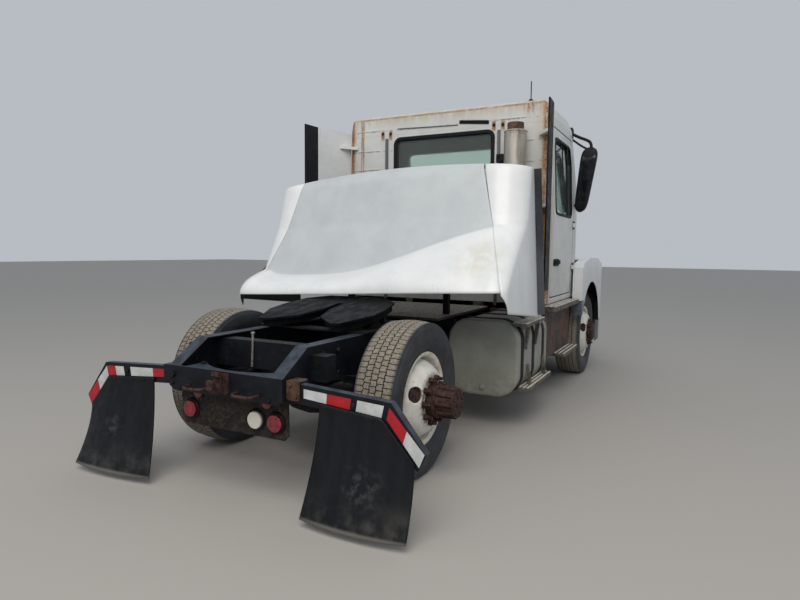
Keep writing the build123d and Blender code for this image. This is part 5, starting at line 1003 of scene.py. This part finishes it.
def wheel_point(side, axle, reach, radius, degrees):
    """Place on a wheel: reach outwards along the axle, radius and angle about it."""
    turn = math.radians(degrees)
    y, x = axle
    return np.array((side * (x + reach), y + radius * math.cos(turn), AXLE_Z + radius * math.sin(turn)))


STUD_CIRCLE = 0.285750 / 2
DISC_FACE = 0.168
FLANGE_FACE = 0.347


def wheel_nut(side, axle, degrees):
    """Round seat, nut and bare stud end at one place of the stud circle."""
    seat, axis = wheel_point(side, axle, DISC_FACE, STUD_CIRCLE, degrees), (side, 0, 0)
    return [lathe([(0, 0.020), (0.005, 0.020), (0.006, 0.0175)], seat, axis, 20),
            hex_head(seat + (side * 0.005, 0, 0), axis, 0.033, 0.022),
            lathe([(0.026, 0.0105), (0.044, 0.0105), (0.047, 0.008)], seat, axis, 12)]


# Valve stem, bent through the disc. Columns: reach, radius, angle in degrees
VALVE = ((0.060, 0.236, 62), (0.090, 0.232, 62), (0.125, 0.222, 62), (0.150, 0.212, 62))

for side_name, side in SIDES:
    axis, body = (side, 0, 0), "rear_wheel_" + side_name
    cap = lathe([(0.346, 0.034), (0.351, 0.034), (0.355, 0.026), (0.356, 0.010)],
                (side * REAR_AXLE[1], REAR_AXLE[0], AXLE_Z), axis, 24)
    solid("hub_barrel_" + side_name, [hub_barrel(side), cap], RUSTED_IRON, body, smooth_deg=28)
    solid("hub_cap_bolts_" + side_name,
          [hex_head(wheel_point(side, REAR_AXLE, FLANGE_FACE, 0.070, 18 + 45 * k), axis, 0.019, 0.009)
           for k in range(8)], RUSTED_IRON, body)
    for axle, end in ((REAR_AXLE, "rear"), (FRONT_AXLE, "front")):
        body = end + "_wheel_" + side_name
        solid("wheel_nuts_" + end + "_" + side_name,
              [form for k in range(10) for form in wheel_nut(side, axle, 36 * k)],
              RUSTED_IRON, body, smooth_deg=25)
        stem = [wheel_point(side, axle, *step) for step in VALVE]
        solid("valve_stem_" + end + "_" + side_name, [sweep(stem, circle(0.004, 8), up=(0.2, 1, 0))],
              ZINC_PLATE, body)

HANGER_FACE = -2.8581
# Bands of tape on the right hanger, as the upper and lower edge's ends. Columns: place across, height
LEVEL_BAND = (((0.527, 0.710), (1.065, 0.680)), ((0.527, 0.660), (1.050, 0.617)))
SLANTED_BAND = (((1.065, 0.680), (1.272, 0.460)), ((1.050, 0.617), (1.243, 0.390)))
# Strips of tape. Columns: side, material, band, start and stop as shares of the band
TAPE_PLAN = (
    (1, TAPE_WHITE, LEVEL_BAND, 0.03, 0.31), (1, TAPE_RED, LEVEL_BAND, 0.31, 0.59),
    (1, TAPE_WHITE, LEVEL_BAND, 0.66, 0.95), (1, TAPE_RED, SLANTED_BAND, 0.02, 0.50),
    (1, TAPE_WHITE, SLANTED_BAND, 0.50, 0.97), (-1, TAPE_RED, LEVEL_BAND, -0.06, 0.19),
    (-1, TAPE_WHITE, LEVEL_BAND, 0.19, 0.58), (-1, TAPE_WHITE, LEVEL_BAND, 0.70, 0.85),
    (-1, TAPE_RED, LEVEL_BAND, 0.85, 1.0), (-1, TAPE_WHITE, SLANTED_BAND, 0.02, 0.48),
    (-1, TAPE_RED, SLANTED_BAND, 0.48, 0.97),
)


def tape_strip(side, band, start, stop):
    """Piece of a band between two straight edges, from one share of its length to another, 1.2 mm thick."""
    (top, top_end), (foot, foot_end) = np.array(band)
    corners = [top + (top_end - top) * k for k in (start, stop)]
    corners += [foot + (foot_end - foot) * k for k in (stop, start)]
    return plate(np.array(corners) * (side, 1), HANGER_FACE, 0.0012)


for material, word in ((TAPE_WHITE, "white"), (TAPE_RED, "red")):
    solid("tail_tape_" + word, [tape_strip(side, *rest) for side, kind, *rest in TAPE_PLAN if kind is material],
          material)

socket = [plate(rounded(0.086, 0.110, 0.012) + (0.478, 0.695), -2.789, 0.080)]
socket += [hex_head((x, -2.869, z), REARWARD, 0.020, 0.012) for x, z in ((0.462, 0.724), (0.496, 0.664))]
socket += [sweep([(x, -2.868, 0.645), (x, -2.868, 0.745)], circle(0.006, 8), up=(1, 0, 0)) for x in (0.440, 0.517)]
solid("right_socket_sleeve", socket, RUSTED_SHEET)

END_PLATE_FACE = -2.903
solid("left_socket_bolts", [hex_head((-0.400, END_PLATE_FACE, 0.700), REARWARD, 0.036, 0.016),
                            hex_head((-0.400, END_PLATE_FACE, 0.650), REARWARD, 0.022, 0.012)], CHASSIS_BLACK)

LAMP_PANEL_FACE = -2.822
# Lamp rims as rings. Columns: distance from the panel, radius
LARGE_RIM = ((0.0, 0.066), (0.010, 0.064), (0.015, 0.058), (0.013, 0.051), (0.0, 0.0505))
SMALL_RIM = ((0.0, 0.034), (0.006, 0.033), (0.009, 0.029), (0.007, 0.0255), (0.0, 0.025))
BACKUP_LAMP = (0.183, 0.482)
solid("lamp_bezels", [lathe(ring, (x, LAMP_PANEL_FACE, z), REARWARD, count, ring=True) for ring, count, x, z in (
    (LARGE_RIM, 40, -0.327, 0.482), (LARGE_RIM, 40, 0.327, 0.482), (LARGE_RIM, 40, *BACKUP_LAMP),
    (SMALL_RIM, 28, -0.266, 0.587), (SMALL_RIM, 28, 0.266, 0.587))], SHEET_RUBBER, smooth_deg=40)
# Bolts of the tail. Columns: place, direction, size across the flats, height
solid("tail_bolts", both_sides(*(hex_head(*bolt) for bolt in (
    ((0.30, -2.75, 0.748), UPWARD, 0.026, 0.014), ((0.40, -2.72, 0.758), UPWARD, 0.024, 0.012),
    ((0.34, END_PLATE_FACE, 0.625), REARWARD, 0.022, 0.010), ((0.862, -2.8591, 0.662), REARWARD, 0.022, 0.012),
    ((0.700, -2.871, 0.626), REARWARD, 0.014, 0.006), ((0.980, -2.871, 0.603), REARWARD, 0.014, 0.006)))),
    CHASSIS_BLACK)
stay = [(-0.104, -2.534, 0.712), (-0.098, -2.534, 0.820), (-0.094, -2.534, 0.925)]
solid("light_stay", [sweep(stay, circle(0.0075, 10), up=(0, 1, 0)),
                     lathe([(0, 0.013), (0.010, 0.013), (0.012, 0.008)], stay[-1], UPWARD, 14)], ZINC_PLATE)

# Lower edge of the flap hangers, which the flaps' top edge follows. Columns: place across, height
HANGER_EDGE = np.array(((0.596, 0.650), (1.030, 0.618), (1.216, 0.410)))
FLAP_TOP_Y = -2.8625
FLAP_FOOT_Z = 0.030


def flap(side, inner, outer_foot, foot_y, sag):
    """Rubber flap as a grid: u runs from its inner to its outer edge, v from its top edge down.

    The top edge follows the hanger. y leaves the hanger's face as v to the power 1.7, to foot_y at the lower
    corners, and the middle sags rearwards by sag * (1 - (2 u - 1) squared) * v. The inner edge runs from inner[0]
    to inner[1] and the lower one is 12 mm higher at its ends.
    """
    u, v = np.meshgrid(np.linspace(0, 1, 33), np.linspace(0, 1, 41), indexing="ij")
    edgewards = (2 * u - 1) ** 2
    top_x = inner[0] + (HANGER_EDGE[-1, 0] - inner[0]) * u
    top_z = np.interp(top_x, *HANGER_EDGE.T)
    foot_x = inner[1] + (outer_foot - inner[1]) * u
    x = top_x + (foot_x - top_x) * v ** 1.4
    y = FLAP_TOP_Y + (np.interp(u, (0, 1), foot_y) - FLAP_TOP_Y) * v ** 1.7 - sag * (1 - edgewards) * v
    z = top_z + (FLAP_FOOT_Z + 0.012 * edgewards - top_z) * v
    points = np.stack([side * x, y, z], -1).reshape(-1, 3)
    made = solid("flap_" + ("right" if side > 0 else "left"),
                 [open_form(points, grid_quads(33, 41), (side * 0.9, 0, 0.3))], SHEET_RUBBER, smooth_deg=60)
    walled(made, 0.009, outwards=True)
    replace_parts(made, "mud_flaps")


flap(1, (0.655, 0.600), 1.222, (-2.972, -2.962), 0.028)
flap(-1, (0.610, 0.545), 1.190, (-2.975, -3.015), 0.022)

RAIL_FACE = 0.4318
# Bolts of the frame rails. Columns: place along the truck, heights
RAIL_BOLTS = (
    (-2.60, (0.80, 0.72)), (-2.52, (0.84, 0.70)), (-2.36, (0.84, 0.70)), (-1.53, (0.84, 0.76)),
    (-1.43, (0.84, 0.76)), (-1.20, (0.70,)), (-0.66, (0.84, 0.76)), (-0.58, (0.84, 0.76)), (0.33, (0.84,)),
    (1.00, (0.84, 0.70)), (2.30, (0.84, 0.70)), (2.60, (0.84, 0.70)),
)
solid("rail_bolts", both_sides(*(hex_head((RAIL_FACE, y, z), (1, 0, 0), 0.027, 0.016)
                                 for y, heights in RAIL_BOLTS for z in heights)), CHASSIS_BLACK)

# Level beads pressed into the cab's back. Columns: ends across, height
BEADS = ((-0.995, -0.737, 2.750), (-0.995, -0.737, 2.537), (-0.995, -0.737, 2.338),
         (0.600, 0.873, 2.748), (0.870, 0.947, 2.530), (0.870, 0.947, 2.330))
solid("pressed_beads", [sweep([(x0, CAB_BACK, z), (x1, CAB_BACK, z)], rounded(0.009, 0.016, 0.003))
                        for x0, x1, z in BEADS], AGED_ENAMEL, smooth_deg=50)
posts = [sweep([(x, CAB_BACK - 0.010, z) for z in (0.93, 1.8, top)], rounded(0.028, 0.024, 0.004), up=(0, 1, 0))
         for x, top in ((-0.640, 2.652), (0.603, 2.642))]
cab_line = [(-0.513, 0.225, 2.748), (-0.330, 0.223, 2.7425), (-0.140, 0.223, 2.737), (0.169, 0.225, 2.730)]
solid("cab_posts", posts + [sweep(cab_line, circle(0.0045, 8))], EXTRUDED_GREY)

VENT = np.array(((0.186, 2.740), (0.496, 2.710), (0.496, 2.745), (0.186, 2.772)))
VENT_MIDDLE = (0.341, 2.7475)


def vent_blade(x):
    """Upright blade of the vent, lower towards the right and tipped by 14 degrees about the line to the rear."""
    outline = rounded(0.004, 0.030, 0.001, 3) + (x, VENT_MIDDLE[1] - (x - VENT_MIDDLE[0]) * 0.09)
    return turned(plate(outline, CAB_BACK - 0.005, 0.008), (x, CAB_BACK, VENT_MIDDLE[1]), (0, 1, 0), 14)


solid("cab_vent", [plate(VENT, CAB_BACK, 0.006)] + [vent_blade(x) for x in np.linspace(0.200, 0.482, 22)],
      GRAINED_PLASTIC)
solid("cab_studs", [form for x, z in STUDS for form in (
    lathe([(0, 0.016), (0.003, 0.016), (0.004, 0.010)], (x, CAB_BACK, z), REARWARD, 14),
    hex_head((x, CAB_BACK - 0.003, z), REARWARD, 0.020, 0.014))], RUSTED_IRON)


def rubber_frame(outline, across, lift, up):
    """Closed rubber profile round a window: a rounded bar, across wide and lift thick, along the outline."""
    return sweep(outline, rounded(across, lift, lift * 0.4, 4), up=up, closed=True)


pane = rounded(1.08, 0.64, 0.06, 8) + (0, 2.32)
pane = np.stack([pane[:, 0], np.full(len(pane), CAB_BACK), pane[:, 1]], -1)
solid("rear_window_rubber", [rubber_frame(pane, 0.040, 0.018, REARWARD)], SHEET_RUBBER, smooth_deg=45)

MUFFLER = (0.805, 0.098)


def round_muffler(profile):
    """Ring about the muffler's axis from an outline of (height, radius)."""
    return lathe(profile, (*MUFFLER, 0), UPWARD, 48, ring=True)


solid("outlet_sleeve", [round_muffler([(2.592, 0.0665), (2.592, 0.0770), (2.664, 0.0770), (2.668, 0.0745),
                                       (2.668, 0.0690), (2.664, 0.0665)])], RUSTED_SHEET)
clamp = [round_muffler([(1.306, 0.1050), (1.306, 0.1090), (1.354, 0.1090), (1.354, 0.1050)]),
         plate(rounded(0.075, 0.080, 0.010, 4) + (MUFFLER[0] - 0.135, 2.345), MUFFLER[1] + 0.03, 0.070)]
clamp += [hex_head((MUFFLER[0] - inwards, MUFFLER[1] - 0.040, z), REARWARD, 0.024, 0.016)
          for inwards, z in ((0.150, 2.365), (0.120, 2.325))]
solid("muffler_clamps", clamp, CHASSIS_BLACK)
rolled_seam = [(MUFFLER[0] + 0.074, MUFFLER[1] - 0.074, z) for z in (1.15, 1.8, 2.58)]
solid("muffler_seams", [round_muffler(circle(0.0045, 8) + (z, 0.1055)) for z in (1.14, 2.585)]
      + [sweep(rolled_seam, circle(0.003, 6), up=(1, 0, 0))], ALUMINISED_STEEL, smooth_deg=60)

DECK_TOP = 0.9199
LUG_PITCH = 0.036
# Corners of one lug in mm, six round its foot and two on its ridge, and its sides
LUG = np.array(((-17, 0, 0), (-8, -5.5, 0), (8, -5.5, 0), (17, 0, 0), (8, 5.5, 0), (-8, 5.5, 0),
                (-9, 0, 3), (9, 0, 3))) / 1000
LUG_SIDES = ((5, 4, 3, 2, 1, 0), (0, 1, 6), (1, 2, 7, 6), (2, 3, 7), (3, 4, 7), (4, 5, 6, 7), (5, 0, 6))


def tread_lugs():
    """Raised lens-shaped lugs of the tread plate, set out in rows and turned 45 degrees one way and the other."""
    x, y = np.meshgrid(np.arange(-0.545, 0.55, LUG_PITCH), np.arange(-1.075, 0.16, LUG_PITCH))
    column, row = np.meshgrid(np.arange(x.shape[1]), np.arange(x.shape[0]))
    turn = np.where((column + row) % 2, 1, -1)[..., None] * np.pi / 4
    x, y = x[..., None], y[..., None]
    points = np.stack([x + LUG[:, 0] * np.cos(turn) - LUG[:, 1] * np.sin(turn),
                       y + LUG[:, 0] * np.sin(turn) + LUG[:, 1] * np.cos(turn),
                       np.full_like(x, DECK_TOP) + LUG[:, 2]], -1).reshape(-1, 3)
    return points, [[corner + len(LUG) * k for corner in side] for k in range(x.size) for side in LUG_SIDES]


solid("deck_lugs", [tread_lugs()], WORN_TREAD, smooth_deg=20)

# Right steps. Columns: inner and outer edge, rear and front end, top, ribs side by side
TREADS = ((1.020, 1.218, 0.165, 1.326, 0.9423, 5), (1.020, 1.222, 0.600, 1.326, 0.4297, 5),
          (1.090, 1.222, -0.760, 0.040, 0.3540, 4), (1.090, 1.218, -0.840, -0.230, 0.8880, 4))


def step_rib(x, rear, front, top):
    """Rib along a step whose top rises and falls by 1.8 mm every 24 mm, so that boots grip it."""
    rise = np.tile((0.0, 0.0018), int((front - rear) / 0.024) + 1)
    y = np.linspace(rear + 0.012, front - 0.012, len(rise))
    return sweep(np.stack([np.full(len(y), x), y, top + 0.0005 + rise], -1), rounded(0.019, 0.012, 0.004, 2))


solid("step_ribs", both_sides(*(
    step_rib(x, rear, front, top) for inner, outer, rear, front, top, count in TREADS
    for x in np.linspace(inner + 0.016, outer - 0.016, count))), WORN_TREAD, smooth_deg=60)

TANK_ENDS = (-0.888, 0.038)
tank_outline = rounded(0.58, 0.61, 0.17, 10) + (0.87, 0.605)
tank_rings = [sweep(np.stack([tank_outline[:, 0], np.full(len(tank_outline), y), tank_outline[:, 1]], -1),
                    circle(0.006, 8), up=(0, 1, 0), closed=True) for y in TANK_ENDS]
drain = lathe([(0, 0.024), (0.010, 0.024), (0.012, 0.016), (0.022, 0.015), (0.024, 0.010)],
              (0.872, -0.8995, 0.361), REARWARD, 20)
solid("tank_seams", both_sides(*tank_rings, drain), TANK_GREY, smooth_deg=50)
filler = lathe([(-0.01, 0.060), (0.012, 0.060), (0.016, 0.052), (0.018, 0.046), (0.044, 0.046), (0.050, 0.040),
                (0.051, 0.012)], (1.110, -0.155, 0.860), (1, 0, 1), 36)
solid("filler_caps", both_sides(filler), MILL_ALUMINIUM)


def door_side(z):
    """Distance of the door's outer face from the truck's middle at a height."""
    return np.interp(z, (0.96, 1.40, 1.85, 2.76, 2.862), (1.112, 1.130, 1.130, 1.092, 1.064))


def softened(points):
    """Closed outline with its corners cut twice, each time by points at 0.08 and 0.92 of every edge."""
    for _ in range(2):
        ahead = np.roll(points, -1, 0)
        points = np.stack([points * 0.92 + ahead * 0.08, points * 0.08 + ahead * 0.92], 1)
        points = points.reshape(-1, points.shape[-1])
    return points


def softened_line(points):
    """Open line with its corners cut three times, each time by points at 0.25 and 0.75 of every edge."""
    points = np.array(points)
    for _ in range(3):
        here, ahead = points[:-1], points[1:]
        cut = np.stack([here * 0.75 + ahead * 0.25, here * 0.25 + ahead * 0.75], 1).reshape(-1, 3)
        points = np.concatenate([points[:1], cut, points[-1:]])
    return points


# Door window's corners. Columns: place along the truck, height
WINDOW = softened(np.array(((0.43, 1.84), (1.20, 1.84), (1.20, 2.40), (1.132, 2.57), (0.43, 2.57))))
DIVIDER_Y = 1.000
HANDLE = (0.51, 1.36)


def door_grip(side):
    """Pull handle: a bar along the door that bows out by 30 mm as the power 0.6 of a half sine."""
    run = np.linspace(0, 1, 15)
    reach = 1.131 + 0.030 * np.sin(np.pi * run) ** 0.6
    path = np.stack([side * reach, HANDLE[0] - 0.10 + 0.20 * run, np.full(15, HANDLE[1] + 0.002)], -1)
    return sweep(path, rounded(0.014, 0.040, 0.005, 4))


for side_name, side in SIDES:
    outline = np.stack([side * (door_side(WINDOW[:, 1]) - 0.001), WINDOW[:, 0], WINDOW[:, 1]], -1)
    divider = sweep([(side * (door_side(z) - 0.004), DIVIDER_Y, z) for z in (1.85, 2.0, 2.2, 2.4, 2.56)],
                    rounded(0.022, 0.012, 0.003, 3), up=(side, 0, 0))
    solid("door_window_rubber_" + side_name, [rubber_frame(outline, 0.030, 0.014, (side, 0, 0)), divider],
          SHEET_RUBBER, "door_" + side_name, smooth_deg=45)
    recess = prism(rounded(0.235, 0.070, 0.020, 5) + HANDLE, (side * 1.128, 0, 0), (0, 1, 0), UPWARD, side * 0.006)
    solid("door_handle_" + side_name, [door_grip(side), recess], GRAINED_PLASTIC, "door_" + side_name,
          smooth_deg=45)


def mirror_shell(flat):
    """Mirror housing, or its pane if flat, as rings of a rounded outline up a line that leans outwards.

    v runs up the mirror, u round it. Width and depth are full in the middle and shrink to nothing at the ends as
    (1 - |2 v - 1| to the power 8) to the power 0.5; the outline is a superellipse of power 4.
    """
    v = np.linspace(0.004, 0.996, 33)[:, None]
    u = np.linspace(0, 2 * np.pi, 41)[:-1][None, :]
    full = np.sqrt(1 - np.abs(2 * v - 1) ** 8)
    p, q = (np.sign(wave) * np.sqrt(np.abs(wave)) for wave in (np.cos(u), np.sin(u)))
    half = (0.066 + 0.026 * v) * full * (0.86 if flat else 1.0)
    x = 1.188 + 0.094 * v + half * p
    y = 1.345 + (0.0012 * q - 0.0488 * full if flat else 0.048 * full * q)
    z = 1.905 + 0.705 * (0.07 + 0.86 * v if flat else v) + 0 * u
    return closed_form(np.stack([x, y, z], -1), grid_quads(33, 40, close_columns=True), end_faces(33, 40))


housings = solid("mirror_housings", both_sides(mirror_shell(False)), GRAINED_PLASTIC, smooth_deg=60)
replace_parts(housings, "mirrors")
solid("mirror_panes", both_sides(mirror_shell(True)), MIRROR_GLASS, smooth_deg=40)
# Tubes of the right mirror: radius and the line's corners
MIRROR_TUBES = (
    (0.016, ((1.020, 1.350, 2.800), (1.080, 1.350, 2.765), (1.160, 1.350, 2.720), (1.235, 1.350, 2.690),
             (1.280, 1.350, 2.660), (1.290, 1.350, 2.590))),
    (0.013, ((1.060, 1.370, 2.000), (1.110, 1.365, 1.985), (1.160, 1.355, 1.975), (1.200, 1.350, 1.965))),
    (0.011, ((1.030, 1.330, 2.740), (1.100, 1.330, 2.690), (1.190, 1.340, 2.620), (1.270, 1.350, 2.580))),
)
arms = [sweep(softened_line(line), circle(radius, 12), up=(0, 1, 0)) for radius, line in MIRROR_TUBES]
arms.append(prism(rounded(0.13, 0.11, 0.03, 5) + (1.345, 2.775), (1.052, 0, 0), (0, 1, 0), UPWARD, 0.030))
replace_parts(solid("mirror_arms", both_sides(*arms), GRAINED_PLASTIC, smooth_deg=50), "mirrors")


def swelled(piece, cap):
    """Swells a pad by cloth simulation: pressure inside, no gravity, 20 frames, no point moved beyond cap."""
    scene = bpy.context.scene
    before = np.empty(len(piece.data.vertices) * 3)
    after = before.copy()
    piece.data.vertices.foreach_get("co", before)
    cloth = piece.modifiers.new("swell", "CLOTH")
    cloth.settings.use_pressure = True
    cloth.settings.uniform_pressure_force = 4.0
    cloth.settings.effector_weights.gravity = 0.0
    for step in range(1, 21):
        scene.frame_set(step)
    shaped = piece.evaluated_get(bpy.context.evaluated_depsgraph_get()).to_mesh()
    shaped.vertices.foreach_get("co", after)
    piece.modifiers.remove(cloth)
    scene.frame_set(1)
    moved = (after - before).reshape(-1, 3)
    size = np.linalg.norm(moved, axis=1, keepdims=True)
    moved *= np.minimum(1, cap / np.maximum(size, 1e-6))
    piece.data.vertices.foreach_set("co", (before.reshape(-1, 3) + moved).ravel())
    piece.data.update()


def pad(name, centre, half, lean_deg, channels):
    """Padded block with sewn channels, worked out as a closed grid of rings and swelled by cloth simulation.

    Each coordinate is half the size times the signed power 0.4 of the sphere's, so that the faces are nearly flat
    and the corners round. The block then leans about a line across the truck. A channel is a shallow groove across
    it: the depth falls with the square of the distance from the channel's line, up to 12 mm away.
    """
    rows, columns = 31, 64
    v = np.linspace(-np.pi / 2, np.pi / 2, rows + 2)[1:-1][:, None]
    u = np.linspace(-np.pi, np.pi, columns + 1)[:-1][None, :]
    x, y, z = np.cos(v) * np.cos(u), np.cos(v) * np.sin(u), np.sin(v) + 0 * u
    block = np.stack([x, y, z], -1)
    block = np.sign(block) * np.abs(block) ** 0.4 * half
    share = block[..., 2] / half[2]
    for line in channels:
        groove = np.clip(1 - np.abs(share - line) * half[2] / 0.012, 0, 1) ** 2
        block[..., :2] *= 1 - 0.06 * groove[..., None]
    form = closed_form(block + centre, grid_quads(rows, columns, close_columns=True), end_faces(rows, columns))
    made = solid(name, [turned(form, centre, (1, 0, 0), lean_deg)], SEAT_WEAVE, smooth_deg=180)
    swelled(made, 0.010)
    rounding = made.modifiers.new("finer grid", "SUBSURF")
    rounding.levels = rounding.render_levels = 1
    return made


# Pads of a seat. Columns: name, place along the truck, height, half sizes, lean in degrees, sewn channels as
# shares of half its height
PADS = (
    ("squab", 0.715, 1.392, (0.235, 0.060, 0.225), 92, (-0.45, 0.45)),
    ("back", 0.505, 1.735, (0.225, 0.050, 0.265), 6, (-0.4, 0.0, 0.4)),
    ("headrest", 0.460, 2.105, (0.130, 0.042, 0.080), 6, ()),
)
SEAT_HALF_GAUGE = 0.48
for side_name, side in SIDES:
    x = side * SEAT_HALF_GAUGE
    for name, y, z, *shape in PADS:
        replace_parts(pad("seat_" + name + "_" + side_name, (x, y, z), *shape), "seats")
    column = sweep([(x, 0.66, z) for z in (1.022, 1.10, 1.20, 1.325)], rounded(0.36, 0.40, 0.05, 4), up=(0, 1, 0))
    foot = solid("seat_foot_" + side_name, [column], GRAINED_PLASTIC, smooth_deg=45)
    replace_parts(foot, "seats")

# The backup lamp in the middle of the tail is clear, the others are red
lenses = bpy.data.objects["tail_lamps_skin"].data
lenses.materials.append(CLEAR_LENS)
middle = np.empty(len(lenses.polygons) * 3)
lenses.polygons.foreach_get("center", middle)
away = np.linalg.norm(middle.reshape(-1, 3)[:, [0, 2]] - BACKUP_LAMP, axis=1)
lenses.polygons.foreach_set("material_index", (away < 0.056).astype(np.int32))


def floor():
    """Flat square sheet at ground height, pale and matt, wider than the camera's view."""
    x, y = np.meshgrid(np.linspace(-60, 60, 3), np.linspace(-60, 60, 3))
    mesh = bpy.data.meshes.new("floor")
    mesh.from_pydata(np.stack([x, y, 0 * x], -1).reshape(-1, 3), [], grid_quads(3, 3))
    made = bpy.data.objects.new("floor", mesh)
    bpy.context.scene.collection.objects.link(made)
    matt = bpy.data.materials.new("pale matt floor")
    matt.use_nodes = True
    shader = matt.node_tree.nodes["Principled BSDF"]
    shader.inputs["Base Color"].default_value = srgb("ACA9A4")
    shader.inputs["Roughness"].default_value = 0.9
    mesh.materials.append(matt)


def lights():
    """Even pale sky and one wide soft lamp high up behind the truck, as under a thin overcast."""
    world = bpy.data.worlds.new("soft sky")
    world.use_nodes = True
    sky = world.node_tree.nodes["Background"]
    sky.inputs["Color"].default_value = srgb("DDE3EA")
    sky.inputs["Strength"].default_value = 0.66
    bpy.context.scene.world = world
    lamp = bpy.data.lights.new("soft overhead", "AREA")
    lamp.shape = "DISK"
    lamp.size = 9.0
    lamp.energy = 700
    lamp.color = srgb("FFF6EC")[:3]
    made = bpy.data.objects.new("soft overhead", lamp)
    made.location = (2.5, -8.0, 9.0)
    made.rotation_euler = (math.radians(42), 0.0, math.radians(17))
    bpy.context.scene.collection.objects.link(made)


EYE = (2.4254, -5.4436, 1.4572)
YAW, PITCH, ROLL = 0.475720, -0.0833288, 0.0099783
LENS_MM, SENSOR_MM = 26.34, 36.0


def camera():
    """Eye at the photograph's place: turned left by its yaw, tipped down by its pitch, rolled about its view."""
    ahead = np.array([-math.sin(YAW) * math.cos(PITCH), math.cos(YAW) * math.cos(PITCH), math.sin(PITCH)])
    right = np.array([math.cos(YAW), math.sin(YAW), 0.0])
    up = np.cross(right, ahead)
    right, up = right * math.cos(ROLL) + up * math.sin(ROLL), up * math.cos(ROLL) - right * math.sin(ROLL)
    turn = np.eye(4)
    turn[:3] = np.stack([right, up, -ahead, EYE], -1)
    eye = bpy.data.cameras.new("camera")
    eye.sensor_width = SENSOR_MM
    eye.lens = LENS_MM
    made = bpy.data.objects.new("camera", eye)
    bpy.context.scene.collection.objects.link(made)
    made.matrix_world = Matrix(turn.tolist())
    bpy.context.scene.camera = made


floor()
lights()
camera()
bpy.context.scene.view_settings.view_transform = "Standard"
